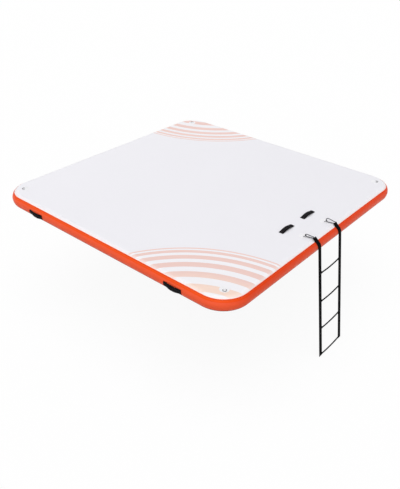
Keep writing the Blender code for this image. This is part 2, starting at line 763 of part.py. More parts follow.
def valve_place():
    """The valve's axis leaves the far wall along +Y at its widest line."""
    return Matrix.Translation((VALVE_OFFSET, HALF, MIDDLE))


def wall_block(offset):
    """Everything on the dock's side of the wall near the valve, in the valve's own frame."""
    outline = []
    for angle in spread(BLOCK_ANGLE, -BLOCK_ANGLE, 13):
        outward, z = edge_point(angle, offset)
        outline.append((outward - EDGE_BULGE, z - MIDDLE))
    back = -EDGE_BULGE
    outline += [(back, outline[-1][1]), (back, outline[0][1])]
    bm = bmesh.new()
    reach = VALVE_FLANGE + OVERRUN
    extrude_outline(bm, outline, -reach, reach)
    return bm


def build_valve_body():
    """Flange shaped to the wall, barrel through it, and the web that guides the stem."""
    flange = cylinder(VALVE_FLANGE, -VALVE_WEB_INSET, VALVE_FACE)
    body = place_object("valve_body", flange, grey_plastic(), None, valve_place())
    add_boolean(body, "wall", wall_block(GAP), "DIFFERENCE")
    add_boolean(body, "barrel", cylinder(VALVE_BARREL, -VALVE_DEPTH, OVERRUN), "UNION")
    mouth = VALVE_FACE + OVERRUN
    web_front = -VALVE_WEB_INSET
    web_back = web_front - VALVE_WEB
    add_boolean(body, "mouth", cylinder(VALVE_BORE, web_front, mouth), "DIFFERENCE")
    add_boolean(body, "inlet", cylinder(VALVE_BORE, -VALVE_DEPTH - OVERRUN, web_back), "DIFFERENCE")
    reach = VALVE_WEB + OVERRUN
    guide = Matrix.Translation((0, (web_front + web_back) / 2, 0))
    add_boolean(body, "stem_hole", cylinder(STEM + GAP, -reach, reach, 12), "DIFFERENCE", guide)
    port_ring = (VALVE_BORE + STEM) / 2
    port = (VALVE_BORE - STEM) / 4
    for number, (px, pz) in enumerate(circle(port_ring, 4)):
        place = guide @ Matrix.Translation((px, 0, pz))
        add_boolean(body, f"port_{number}", cylinder(port, -reach, reach, 8), "DIFFERENCE", place)


def build_valve_nut():
    """Ring inside the wall that pulls the flange tight, its face shaped to the wall."""
    blank = cylinder(NUT_RADIUS, -NUT_BACK, OVERRUN, 12)
    nut = place_object("valve_nut", blank, grey_plastic(), None, valve_place())
    add_boolean(nut, "wall", wall_block(-SKIN - GAP), "INTERSECT")
    reach = NUT_BACK + OVERRUN
    add_boolean(nut, "bore", cylinder(VALVE_BARREL + GAP, -reach, reach), "DIFFERENCE")


def build_valve_poppet():
    """Button, stem and plate. The plate seals against the barrel's inner end."""
    seat = -VALVE_DEPTH - GAP
    back = seat - STEM_PLATE_THICKNESS
    button_back = -BUTTON_INSET - BUTTON_THICKNESS
    steps = (
        (STEM_PLATE, back),
        (STEM_PLATE, seat),
        (STEM, seat),
        (STEM, button_back),
        (BUTTON, button_back),
        (BUTTON, -BUTTON_INSET),
    )
    bm = bmesh.new()
    loft(bm, [[Vector((px, y, pz)) for px, pz in circle(radius, 12)] for radius, y in steps])
    place_object("valve_poppet", bm, grey_plastic(), None, valve_place())


def build_valve_spring():
    """Coil between the web and the button."""
    start = -VALVE_WEB_INSET + SPRING_WIRE + GAP
    end = -BUTTON_INSET - BUTTON_THICKNESS - SPRING_WIRE - GAP
    steps = SPRING_TURNS * 8
    sections = []
    for i in range(steps + 1):
        angle = 2 * math.pi * SPRING_TURNS * i / steps
        radial = Vector((math.cos(angle), 0.0, math.sin(angle)))
        along = Vector((0.0, 1.0, 0.0))
        centre = radial * SPRING_RADIUS + along * (start + (end - start) * i / steps)
        sections.append([centre + radial * px + along * py for px, py in circle(SPRING_WIRE, 4)])
    bm = bmesh.new()
    loft(bm, sections)
    place_object("valve_spring", bm, steel(), None, valve_place())


def build_valve_cap():
    """Scalloped cap with a hollow plug inside the mouth and a stud for the tether."""
    face = VALVE_FACE + GAP
    sides = CAP_LOBES * 2
    lobed = []
    for i, (px, pz) in enumerate(circle(1, sides)):
        radius = CAP_RADIUS - CAP_LOBE_DEPTH * (i % 2)
        lobed.append((px * radius, pz * radius))
    bm = bmesh.new()
    loft(bm, [[Vector((px, y, pz)) for px, pz in lobed] for y in (face, face + CAP)])
    cap = place_object("valve_cap", bm, grey_plastic(), None, valve_place())
    top = face + CAP
    neck = top + GAP + TETHER + GAP
    stud = bmesh.new()
    steps = ((STUD, top - OVERRUN), (STUD, neck), (STUD_HEAD, neck), (STUD_HEAD, neck + STUD_HEAD_THICKNESS))
    loft(stud, [[Vector((px, y, pz)) for px, pz in circle(radius, 12)] for radius, y in steps])
    add_boolean(cap, "stud", stud, "UNION")
    plug_end = VALVE_FACE - PLUG_DEPTH
    add_boolean(cap, "plug", cylinder(PLUG_RADIUS, plug_end, face + CAP / 2), "UNION")
    hollow = cylinder(PLUG_RADIUS - PLUG_WALL, plug_end - OVERRUN, face)
    add_boolean(cap, "plug_hollow", hollow, "DIFFERENCE")


def build_valve_tether():
    """Ring round the flange, and a strip that keeps the cap by its stud."""
    inner = VALVE_FLANGE + GAP
    outer = inner + TETHER_RING_WALL
    front = VALVE_FACE
    back = 2 * GAP
    bm = bmesh.new()
    profile = ((inner, back), (outer, back), (outer, front), (inner, front))
    angles = spread(0.0, 2 * math.pi, 25)[:-1]
    sections = []
    for angle in angles:
        radial = Vector((math.cos(angle), 0.0, math.sin(angle)))
        sections.append([radial * radius + Vector((0.0, y, 0.0)) for radius, y in profile])
    loft(bm, sections, closed=True)
    tether = place_object("valve_tether", bm, grey_plastic(), None, valve_place())
    low = VALVE_FACE + GAP + CAP + GAP
    high = low + TETHER
    middle = (front + back) / 2
    outline = [(low, 0.0), (high, 0.0), (high, -outer), (middle, -outer), (middle, -inner - GAP)]
    outline += [(low, -inner - GAP)]
    strip = bmesh.new()
    extrude_outline(strip, outline, -TETHER_WIDTH / 2, TETHER_WIDTH / 2)
    add_boolean(tether, "strip", strip, "UNION")
    add_boolean(tether, "eye", cylinder(TETHER_WIDTH, low, high, 16), "UNION")
    hole = cylinder(STUD + GAP, low - OVERRUN, high + OVERRUN, 12)
    add_boolean(tether, "stud_hole", hole, "DIFFERENCE")


def build_valve():
    build_valve_body()
    build_valve_nut()
    build_valve_poppet()
    build_valve_spring()
    build_valve_cap()
    build_valve_tether()


def main():
    for old in list(bpy.data.objects):
        bpy.data.objects.remove(old, do_unlink=True)
    build_dock()
    build_corner_rings()
    build_handles()
    build_hooks()
    build_ladder()
    build_valve()


main()
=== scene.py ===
"""Looks for the inflatable dock platform: fine surfaces, finishes, light and camera."""

import json
import math

import bmesh
import bpy
from mathutils import Matrix, Vector


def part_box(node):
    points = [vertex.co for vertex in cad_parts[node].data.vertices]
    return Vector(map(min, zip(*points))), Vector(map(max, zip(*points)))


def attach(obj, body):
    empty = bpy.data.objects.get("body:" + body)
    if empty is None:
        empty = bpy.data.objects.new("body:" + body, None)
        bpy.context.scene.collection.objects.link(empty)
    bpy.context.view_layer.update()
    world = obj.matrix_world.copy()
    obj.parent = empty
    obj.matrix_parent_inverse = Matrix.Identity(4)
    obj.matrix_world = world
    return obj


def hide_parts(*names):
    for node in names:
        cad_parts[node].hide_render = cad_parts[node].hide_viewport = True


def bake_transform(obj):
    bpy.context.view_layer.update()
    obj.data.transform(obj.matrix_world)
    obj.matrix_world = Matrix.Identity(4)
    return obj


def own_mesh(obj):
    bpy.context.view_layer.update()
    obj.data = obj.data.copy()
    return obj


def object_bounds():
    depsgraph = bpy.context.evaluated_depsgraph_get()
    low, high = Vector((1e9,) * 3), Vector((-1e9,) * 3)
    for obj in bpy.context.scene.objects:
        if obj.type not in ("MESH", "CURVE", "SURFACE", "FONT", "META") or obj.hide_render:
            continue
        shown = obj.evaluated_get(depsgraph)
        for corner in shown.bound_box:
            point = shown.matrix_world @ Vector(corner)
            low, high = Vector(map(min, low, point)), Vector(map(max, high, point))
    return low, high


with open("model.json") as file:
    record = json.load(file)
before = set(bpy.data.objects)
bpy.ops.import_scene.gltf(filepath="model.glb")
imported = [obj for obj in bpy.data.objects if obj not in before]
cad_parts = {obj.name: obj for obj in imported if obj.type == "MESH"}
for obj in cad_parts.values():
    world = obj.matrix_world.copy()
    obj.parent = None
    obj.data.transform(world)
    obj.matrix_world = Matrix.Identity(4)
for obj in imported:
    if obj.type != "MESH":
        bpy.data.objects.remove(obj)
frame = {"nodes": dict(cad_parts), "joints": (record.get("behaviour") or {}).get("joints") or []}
cad_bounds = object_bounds()

# Dock body, in metres
EDGE_BULGE = 0.07  # how far the rounded wall stands out past the flat deck
SKIN = 0.0012
GAP = 0.0003
SEAM_DROP = 0.025
TAPE_DROP = 0.015
TAPE_HEIGHT = 0.022
TAPE = 0.0009
TAPE_EDGE = 0.0012  # the tape's outermost strip, pressed thin
TAPE_THIN = 0.45
CORNER_RADIUS = 0.282
PUCKER = 0.0005  # depth of the small wrinkles that a tight corner seam draws up
PUCKER_PITCH = 0.021
RIM_INSET = 0.02  # how far in from the edge a skin's flat face starts
ROLL = (0.014, 0.0005)  # depths below the deck over which the rolled skin's painted cream shade fades back to white towards the top
WELD_LINE = (0.0195, 0.0215)  # a tape's welded line, as depths below the deck
SHADE_LINE = (0.030, 0.037)  # heights over which the lower tape darkens towards the ground

# Printed arcs: each band's inner and outer radius about a point in the deck's plane
ARC_CENTRES = ((-2.115, -1.600), (2.101, 1.589))
ARCS = (
    (0.732, 0.831),
    (0.920, 1.004),
    (1.077, 1.147),
    (1.199, 1.258),
    (1.295, 1.337),
    (1.362, 1.379),
)
ARC_REACH = 1.5  # radius past the outermost band
FADE = (0.76, 0.97)  # distances over which the front print deepens

# Rings and their patches
RING_WIRE = 0.002
RING_HALF = 0.016
RING_DEPTH = 0.024
RING_BEND = 0.003
PATCH = 0.0012
PATCH_BACK = 0.010
PATCH_RIM = 0.004  # width of the pressed rim
KEEPER_WIDTH = 0.022
KEEPER_LENGTH = 0.026
KEEPER_BEND = 0.0094  # behind the bar, where the loop comes down to the sewn layers
KEEPER_LOOP = (math.radians(115), math.radians(-205))  # where the loop starts, and its turn
KEEPER_SEWN = (0.0025, 0.002, 0.0015)  # the sewn box's distance from the sides, the tail and the bend
WEBBING_LAYER = 0.0012

# Carabiners
WIRE = 0.004
BIG_BEND = 0.019
SMALL_BEND = 0.0095
BEND_DISTANCE = 0.0665
TONGUE = 0.0026
TONGUE_HALF = 0.0036
TONGUE_REACH = 0.009
PIVOT_DISTANCE = 0.0064
NOSE_DISTANCE = 0.0064
GATE_RADIUS = 0.0043
GATE_SLOT = 0.0032
GATE_BEVEL = 0.0004
GATE_END_GAP = 0.0004
CHEEK_REACH = 0.0044
RIVET = 0.0015
RIVET_HEAD = 0.0027
RIVET_HEAD_THICKNESS = 0.0009

# Handles
HANDLE_WIDTH = 0.05
HANDLE_RISE = 0.012
HANDLE_FREE = 0.184
HANDLE_CREST = 0.03
SIDE_HANDLE_HEIGHT = 0.066
PAD = 0.003
PAD_PINCH = 0.2  # share of its thickness that a pad loses at its ends, and over how far
PAD_PINCH_LENGTH = 0.004
PAD_SEAM = 0.0032  # a pad's seams, in from its long edges
ANCHOR = 0.0012
ANCHOR_LENGTH = 0.019
ANCHOR_MARGIN = 0.002
GRIP_WEBBING = 0.0015
GRIP_HALF = 0.0125
GRIP_BOX = 0.016  # length of the sewn box at each end
GRIP_BOX_INSET = 0.003
GRIP_SEAM_GAP = 0.004  # between a seam's end and the box
GRIP_CORNER = (0.0004, 0.0005)  # how far the webbing's lower and upper faces stop short of its edge

# Ladder
STRAP = 0.003
STRAP_END = 0.005
STRAP_DIP = math.radians(42)  # how far below level an upright pulls on its hook
STRAP_TOUCH = math.radians(30)  # where an upright first lies on the wall, up from the widest line
STRAP_STEP = 0.008
SELVEDGE = 0.001  # how far the woven edge stands out past the solid strap
FLAT_SHARES = (0.6, 0.2, -0.2, -0.6)
SEWN_SHARES = (0.06, 0.12)  # first rows of the sewn end, close together round its tip
EYE_RADIUS = 0.0095
EYE_PLAY = 0.003
EYE_MARGIN = 0.013
TIP_MARGIN = 0.002  # the first row of stitches, in from the upright's tip
FOLD_LENGTH = 0.022
SWING_BEND = 0.02  # half of the length that bends at the rail, and at a rung
RUNG_BEND = 0.018
RUNG_RADIUS = 0.0068
RUNG_SAG = 0.008
GUSSET_HALF = 0.014
GUSSET_LENGTH = 0.03
LADDER_FOOT = 0.015

# Stitches
STITCH_PITCH = 0.0046
RUNG_PITCH_SEWN = 0.005
KEEPER_PITCH = 0.0032
STITCH_RADIUS = 0.0004
STITCH_SINK = 0.4  # share of its radius that a stitch lies in the cloth
STITCH_TAPER = 0.65
STITCH_REACH = 0.4  # half of a stitch, as a share of its pitch
STITCH_MARGIN = 0.0035
STITCH_SHARES = (-1.0, -0.6, 0.0, 0.6, 1.0)

# Valve
VALVE_FLANGE = 0.024
VALVE_BARREL = 0.016
VALVE_BORE = 0.012
VALVE_FACE = 0.005
FLANGE_DEPTH = 0.02
SEAT_DEPTH = 0.001
VALVE_ROUND = 0.0012
BARREL_DEPTH = 0.0012
CAP_RADIUS = 0.02
CAP = 0.004
CAP_RIBS = 24
CAP_RIB_DEPTH = 0.0007
CAP_BEVEL = 0.0004
CAP_WELL = 0.0006
CAP_FOOT = 0.0006  # height of the lower bevel
CAP_SHOULDER = 0.0012  # how far below the top the ribs begin to fade
CAP_INSETS = (0.0022, 0.006, 0.007)  # the flat rim's two edges and the sunk face's, in from the side
PLUG_RADIUS = 0.0115
PLUG_DEPTH = 0.006
STUD = 0.003
STUD_HEAD = 0.0045
STUD_HEAD_THICKNESS = 0.0012
STUD_FOOT = 0.0012
SPRING_WIRE = 0.0004
SPRING_TURNS = 6
TETHER = 0.0015
TETHER_WIDTH = 0.006
TETHER_RING_WALL = 0.002
TETHER_BEND = 0.001
TETHER_BEVEL = 0.0004
TETHER_EDGE = 0.0006

# Fineness: steps along a form, or sides round it
CORNER_STEPS = 28
STRAIGHT_STEPS = 40
ROLL_STEPS = 14
BAND_STEPS = 15
TAPE_STEPS = 7
SELVEDGE_STEPS = 6
STITCH_SIDES = 6
BOW_STEPS = 28
SHORT_BEND_STEPS = 8
LOOP_STEPS = 16
BIG_BEND_STEPS = 30
SMALL_BEND_STEPS = 20
TONGUE_STEPS = 12
HANDLE_ROWS = 61
PAD_STEPS = 14
WEBBING_STEPS = 9
RUNG_ROWS = 71
WALL_STEPS = 9
DROP_STEPS = 13
SEWN_STEPS = 22
THINNING_STEPS = 3  # over which the sewn end thins to the single strap
ANCHOR_ROWS = 3
BLOCK_STEPS = 33
SPRING_STEPS = 24
SPRING_SIDES = 10
RIB_SIDES = 6
TETHER_BEND_STEPS = 5
THIN_SIDES = 16
WIRE_SIDES = 20
ROUND_SIDES = 24
EYE_SIDES = 32
BARREL_SIDES = 40
PLUG_SIDES = 48
DISC_SIDES = 72
SHARP = math.radians(38)  # edges sharper than this aren't shaded round

# Colours, as linear red, green and blue
# The deck's white between two tones, mixed by random tone and by painted light and shade across the deck
DECK_FIELD_TONE_AND_SHADE = ((0.890, 0.882, 0.925), (0.836, 0.829, 0.870))
DECK_INSIDE = (0.897, 0.889, 0.922)
PRINT = ((0.92, 0.705, 0.605), (0.846, 0.602, 0.555))
# Painted shade on the deck skin where it rolls over the edge
ROLL_SHADE_CREAM = (0.87, 0.785, 0.772)
# Painted shade on the bottom skin's roll, just under the lower tape
BOTTOM_ROLL_SHADE = (0.62, 0.24, 0.16)
WELD_BROWN = (0.42, 0.065, 0.022)
SHADE_BROWN = (0.33, 0.060, 0.038)
PAINTED_WALL_SHADE = (0.91, 0.66, 0.52)  # painted shade: how much darker the band's upper part is painted away from the left wall, as shares of its colour
CLOUD_SPAN = (0.3, 0.7)  # the part of a noise's range that it mostly fills

# Camera, fitted to the photograph
CAMERA_PLACE = (-4.466, -3.6714, 3.0107)
CAMERA_HEADING = math.radians(39.745)
CAMERA_ELEVATION = math.radians(32.043)
CAMERA_ROLL = math.radians(1.2265)
CAMERA_LENS = 43.626
CAMERA_SENSOR = 36

# Light
WORLD_LEVEL = 0.5
SUNS = {"key": ((-0.25, -0.08, 0.965), 1.35), "fill": ((-0.78, -0.52, 0.20), 0.95)}
SOFTNESS = math.radians(60)
FLOOR_REACH = 60.0
FLOOR_BOUNCE = 0.5  # the floor's tone for light that it throws back
FLOOR_SEEN = 0.98
FLOOR_GLOW = 0.9  # how far the seen floor is plain white

# Places from the frame
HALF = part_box("side_band")[1].x
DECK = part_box("deck_skin")[1].z
MIDDLE = DECK / 2
FLAT_HALF = HALF - EDGE_BULGE
FLAT_RADIUS = CORNER_RADIUS - EDGE_BULGE
JOINTS = {joint["name"]: joint for joint in frame["joints"]}
ACROSS = Vector((1.0, 0.0, 0.0))
ALONG = Vector((0.0, 1.0, 0.0))
UP = Vector((0.0, 0.0, 1.0))


# Mesh helpers


def spread(start, end, count):
    """Evenly spaced values from start to end, both included."""
    return [start + (end - start) * i / (count - 1) for i in range(count)]


def smooth(share):
    """Ease from 0 to 1 with level ends."""
    share = min(max(share, 0.0), 1.0)
    return share * share * (3 - 2 * share)


def circle(radius, sides, first=0.0, turn=2 * math.pi):
    """Points on an arc about zero. A full turn leaves out the last point."""
    count = sides if turn == 2 * math.pi else sides + 1
    angles = [first + turn * i / sides for i in range(count)]
    return [(radius * math.cos(a), radius * math.sin(a)) for a in angles]


def joint_place(name):
    return Vector(JOINTS[name]["pos_m"])


def joint_axis(name):
    return Vector(JOINTS[name]["axis"]).normalized()


def loft(sections, closed=False, material=0, bm=None):
    """Skin a row of equal sections, in bm or a new bmesh. UVs are lengths along and round it."""
    bm = bmesh.new() if bm is None else bm
    layer = bm.loops.layers.uv.verify()
    rings = [[bm.verts.new(point) for point in section] for section in sections]
    row = rings + ([rings[0]] if closed else [])
    along = [0.0]
    for near, far in zip(row, row[1:]):
        along.append(along[-1] + sum((a.co - b.co).length for a, b in zip(near, far)) / len(near))
    count = len(rings[0])
    middle = rings[len(rings) // 2]
    around = [0.0]
    for j in range(count):
        around.append(around[-1] + (middle[(j + 1) % count].co - middle[j].co).length)
    for i, (near, far) in enumerate(zip(row, row[1:])):
        for j in range(count):
            k = (j + 1) % count
            face = bm.faces.new((near[j], near[k], far[k], far[j]))
            face.material_index = material
            spots = ((i, j), (i, j + 1), (i + 1, j + 1), (i + 1, j))
            for corner, (step, side) in zip(face.loops, spots):
                corner[layer].uv = (along[step], around[side])
    ends = () if closed else ((rings[0], along[0]), (rings[-1], along[-1]))
    for ring, place in ends:
        face = bm.faces.new(ring)
        face.material_index = material
        for corner, side in zip(face.loops, around):
            corner[layer].uv = (place, side)
    return bm


def sweep_flat(path, normal, radius, sides, closed=False):
    """Round wire along a path that lies in one plane."""
    sections = []
    last = len(path) - 1
    for i, point in enumerate(path):
        before = path[i - 1] if closed or i > 0 else point
        after = path[(i + 1) % len(path)] if closed or i < last else point
        across = (after - before).normalized().cross(normal)
        sections.append([point + across * px + normal * pz for px, pz in circle(radius, sides)])
    return loft(sections, closed)


def turned(outline, sides, place, closed=False):
    """Revolve (radius, y) points about Y. An open outline is capped with flat faces."""
    rows = [(y, circle(radius, sides)) for radius, y in outline]
    return loft([[place @ Vector((px, y, pz)) for px, pz in row] for y, row in rows], closed)


def cylinder(radius, low, high, sides, place):
    return turned([(radius, low), (radius, high)], sides, place)


def extruded(outline, low, high, place):
    """Prism of (y, z) points along X."""
    return loft([[place @ Vector((x, y, z)) for y, z in outline] for x in (low, high)])


def rounded_outline(outline, radius, steps=3):
    """Outline with its corners rounded, as far as its short sides allow."""
    most = 0.45
    points = [outline[0]]
    for before, here, after in zip(outline, outline[1:], outline[2:]):
        before, here, after = Vector(before), Vector(here), Vector(after)
        cut = min(radius, (before - here).length * most, (after - here).length * most)
        start = here + (before - here).normalized() * cut
        end = here + (after - here).normalized() * cut
        for share in spread(0.0, 1.0, steps + 1):
            point = start * (1 - share) ** 2 + here * 2 * share * (1 - share) + end * share**2
            points.append((point.x, point.y))
    return [*points, outline[-1]]


def strip_section(point, normal, half_width, half_thickness):
    """Section of webbing that lies across X: flat faces and round selvedges."""
    section = []
    flat = half_width - half_thickness
    for side in (1, -1):
        for angle in spread(-math.pi / 2, math.pi / 2, SELVEDGE_STEPS + 1):
            out = flat + half_thickness * math.cos(angle)
            lift = half_thickness * math.sin(angle)
            section.append(point + ACROSS * side * out + normal * side * lift)
        for share in FLAT_SHARES:
            section.append(point + ACROSS * side * flat * share + normal * side * half_thickness)
    return section


def add_object(name, data):
    piece = bpy.data.objects.new(name, data)
    bpy.context.scene.collection.objects.link(piece)
    return piece


def shade(mesh):
    mesh.shade_smooth()
    mesh.set_sharp_from_angle(angle=SHARP)


def finish_mesh(name, bm, *materials):
    """Turn a closed bmesh into an object with its faces pointing out."""
    bmesh.ops.recalc_face_normals(bm, faces=bm.faces)
    if bm.calc_volume(signed=True) < 0:
        bmesh.ops.reverse_faces(bm, faces=bm.faces)
    mesh = bpy.data.meshes.new(name)
    bm.to_mesh(mesh)
    bm.free()
    shade(mesh)
    for material in materials:
        mesh.materials.append(material)
    return add_object(name, mesh)


def boolean(piece, bm, operation):
    """Cut or join with a guide that isn't kept."""
    guide = finish_mesh(f"{piece.name}_guide", bm, *piece.data.materials)
    modifier = piece.modifiers.new("cut", "BOOLEAN")
    modifier.operation = operation
    modifier.solver = "EXACT"
    modifier.object = guide
    graph = bpy.context.evaluated_depsgraph_get()
    graph.update()
    mesh = bpy.data.meshes.new_from_object(piece.evaluated_get(graph))
    piece.modifiers.clear()
    piece.data = mesh
    bpy.data.objects.remove(guide, do_unlink=True)
    shade(mesh)


def place_piece(piece, body, slot, *nodes):
    """The piece rides on a body and stands for CAD nodes; slot is not used."""
    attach(piece, body)
    if nodes:
        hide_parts(*nodes)


# Materials


def add_node(tree, kind, inputs, output=0, **settings):
    """Add a node. inputs gives a value, or another node's output, for each socket that is set."""
    node = tree.nodes.new(f"ShaderNode{kind}")
    for name, value in settings.items():
        setattr(node, name, value)
    for socket, value in inputs.items():
        if isinstance(value, bpy.types.NodeSocket):
            tree.links.new(value, node.inputs[socket])
        else:
            node.inputs[socket].default_value = value
    return node.outputs[output]


class Finish:
    """A Principled material and short calls that add nodes to it."""

    def __init__(self, name, colour, roughness, metallic=0.0, specular=0.5):
        self.material = bpy.data.materials.new(name)
        self.material.use_nodes = True
        self.tree = self.material.node_tree
        self.shader = self.tree.nodes["Principled BSDF"]
        self.colour = colour
        self.shader.inputs["Base Color"].default_value = (*colour, 1.0)
        self.shader.inputs["Roughness"].default_value = roughness
        self.shader.inputs["Metallic"].default_value = metallic
        self.shader.inputs["Specular IOR Level"].default_value = specular
        self.coordinates = self.tree.nodes.new("ShaderNodeTexCoord").outputs

    def link(self, output, socket="Base Color"):
        self.tree.links.new(output, self.shader.inputs[socket])

    def math(self, operation, first, second=0.0, clamp=False):
        return add_node(self.tree, "Math", {0: first, 1: second}, operation=operation, use_clamp=clamp)

    def parts(self, kind="Object"):
        """X, Y and Z of the place on the surface."""
        return add_node(self.tree, "SeparateXYZ", {0: self.coordinates[kind]}).node.outputs

    def noise(self, scale, detail=3.0, kind="Object"):
        inputs = {"Scale": scale, "Detail": detail, "Vector": self.coordinates[kind]}
        return add_node(self.tree, "TexNoise", inputs, "Fac")

    def between(self, value, low, high, low_to=0.0, high_to=1.0):
        inputs = {"Value": value, "From Min": low, "From Max": high, "To Min": low_to, "To Max": high_to}
        return add_node(self.tree, "MapRange", inputs, "Result")

    def mix(self, share, *colours):
        """Colour between two colours. Each is a colour or an output."""
        first, second = (c if isinstance(c, bpy.types.NodeSocket) else (*c, 1.0) for c in colours)
        return add_node(self.tree, "Mix", {0: share, 6: first, 7: second}, 2, data_type="RGBA")

    def shades(self, share, low, high):
        """The finish's own colour, made from low to high times as bright."""
        levels = [tuple(min(c * level, 1.0) for c in self.colour) for level in (low, high)]
        return self.mix(share, *levels)

    def tint(self, share, low, high):
        self.link(self.shades(share, low, high))

    def vary_roughness(self, scale, low, high):
        self.link(self.between(self.noise(scale), *CLOUD_SPAN, low, high), "Roughness")

    def bump(self, height, distance, strength):
        inputs = {"Height": height, "Distance": distance, "Strength": strength}
        self.link(add_node(self.tree, "Bump", inputs, "Normal"), "Normal")

    def half_wave(self, value, pitch):
        """From 0 to 1 and back over each pitch."""
        sine = self.math("SINE", self.math("MULTIPLY", value, 2 * math.pi / pitch))
        return self.math("ADD", self.math("MULTIPLY", sine, 0.5), 0.5)

    def emboss(self, pitch):
        """Fine cloth grain that shows through a coating."""
        x, y, z = self.parts()
        first = self.half_wave(self.math("ADD", x, z), pitch)
        second = self.half_wave(self.math("ADD", y, z), pitch)
        return self.math("MULTIPLY", first, second)

    def distance(self, centre):
        """Distance in the deck's plane from one point."""
        x, y, _ = self.parts()
        flat = add_node(self.tree, "CombineXYZ", {0: x, 1: y})
        inputs = {0: flat, 1: (*centre, 0.0)}
        return add_node(self.tree, "VectorMath", inputs, "Value", operation="DISTANCE")

    def arcs(self, distance):
        """1 on a printed band, 0 between the bands."""
        share = self.math("DIVIDE", distance, ARC_REACH)
        colour = add_node(self.tree, "ValToRGB", {"Fac": share}, "Color")
        ramp = colour.node.color_ramp
        ramp.interpolation = "CONSTANT"
        ramp.elements[0].color = (0, 0, 0, 1)
        ramp.elements[1].position = ARCS[0][0] / ARC_REACH
        ramp.elements[1].color = (1, 1, 1, 1)
        edges = [edge for band in ARCS for edge in band][1:]
        for number, edge in enumerate(edges):
            level = number % 2
            ramp.elements.new(edge / ARC_REACH).color = (level, level, level, 1)
        return colour


def deck_finish():
    finish = Finish("deck_pvc", (0.853, 0.845, 0.888), roughness=0.5, specular=0.35)
    distances = [finish.distance(centre) for centre in ARC_CENTRES]
    bands = finish.math("ADD", *[finish.arcs(distance) for distance in distances], clamp=True)
    within = [finish.math("LESS_THAN", distance, ARCS[-1][1]) for distance in distances]
    inside = finish.math("ADD", *within, clamp=True)
    x, y, height = finish.parts()
    # Painted light and shade: the deck is painted lighter towards the back-left corner and darker towards
    # the front-right, mixed with random tone.
    far = finish.between(finish.math("SUBTRACT", x, y), -HALF * 2, HALF * 2, high_to=0.7)
    tone_and_painted_falloff = finish.math("ADD", finish.math("MULTIPLY", finish.noise(scale=1.3), 0.4), far)
    white = finish.mix(inside, finish.mix(tone_and_painted_falloff, *DECK_FIELD_TONE_AND_SHADE), DECK_INSIDE)
    ragged = finish.math("MULTIPLY", finish.noise(scale=9.0), 0.1)
    faded = finish.between(finish.math("SUBTRACT", distances[0], ragged), *FADE)
    patterned = finish.mix(bands, white, finish.mix(faded, *PRINT))
    # Painted shade: the skin is painted a darker cream where it rolls over the edge.
    roll = finish.between(height, DECK - ROLL[0], DECK - ROLL[1], low_to=0.85, high_to=0.0)
    finish.link(finish.mix(roll, patterned, ROLL_SHADE_CREAM))
    finish.vary_roughness(scale=14.0, low=0.44, high=0.56)
    dimples = finish.math("MULTIPLY", finish.emboss(pitch=0.011), 0.6)
    finish.bump(finish.math("ADD", finish.emboss(pitch=0.0021), dimples), distance=0.00018, strength=0.5)
    return finish.material


def bottom_finish():
    finish = Finish("bottom_pvc", (0.83, 0.825, 0.86), roughness=0.5, specular=0.35)
    plain = finish.shades(finish.noise(scale=2.1), low=0.96, high=1.03)
    # Painted shade: the bottom skin's roll is painted a warm brown towards the lower tape.
    bottom_roll_shade = finish.between(finish.parts()[2], TAPE_DROP * 0.4, TAPE_DROP)
    finish.link(finish.mix(bottom_roll_shade, plain, BOTTOM_ROLL_SHADE))
    finish.vary_roughness(scale=11.0, low=0.44, high=0.58)
    grain = finish.math("ADD", finish.emboss(pitch=0.0021), finish.emboss(pitch=0.011))
    finish.bump(grain, distance=0.00018, strength=0.45)
    return finish.material


def orange_finish(name, colour, weld_lines_and_shade=False):
    """Coated band or tape. Away from the left wall, the band's upper part is painted a deeper orange as
    painted shade. The tapes show a thin glued line above, and painted shade towards the ground below.
    """
    finish = Finish(name, colour, roughness=0.4, specular=0.1)
    x, _, height = finish.parts()
    along = finish.between(x, -HALF + EDGE_BULGE, -FLAT_HALF + FLAT_RADIUS)
    upper = finish.between(height, MIDDLE - TAPE_DROP, MIDDLE + TAPE_DROP * 2)
    plain = finish.shades(finish.noise(scale=5.0, detail=4.0), low=0.95, high=1.05)
    # Painted shade: away from the left wall, the upper part is painted a deeper, darker orange.
    deep = [c * share for c, share in zip(colour, PAINTED_WALL_SHADE)]
    look = finish.mix(finish.math("MULTIPLY", along, upper), plain, deep)
    if weld_lines_and_shade:
        top, bottom = DECK - WELD_LINE[0], DECK - WELD_LINE[1]
        above = finish.between(height, bottom, top)
        below = finish.between(height, top + GAP, top + GAP * 4, low_to=1.0, high_to=0.0)
        look = finish.mix(finish.math("MULTIPLY", above, below), look, WELD_BROWN)
        # Painted shade: the lower tape is painted darker towards the ground.
        ground_shade = finish.between(height, *SHADE_LINE, low_to=1.0, high_to=0.0)
        look = finish.mix(ground_shade, look, SHADE_BROWN)
    finish.link(look)
    finish.vary_roughness(scale=16.0, low=0.34, high=0.48)
    swell = finish.math("MULTIPLY", finish.noise(scale=34.0, detail=2.0), 1.4)
    finish.bump(finish.math("ADD", finish.emboss(pitch=0.0019), swell), distance=0.00022, strength=0.5)
    return finish.material


def patch_finish():
    finish = Finish("patch_pvc", (0.89, 0.885, 0.91), roughness=0.42, specular=0.3)
    finish.tint(finish.noise(scale=60.0), low=0.97, high=1.03)
    finish.bump(finish.emboss(pitch=0.0016), distance=0.00015, strength=0.5)
    return finish.material


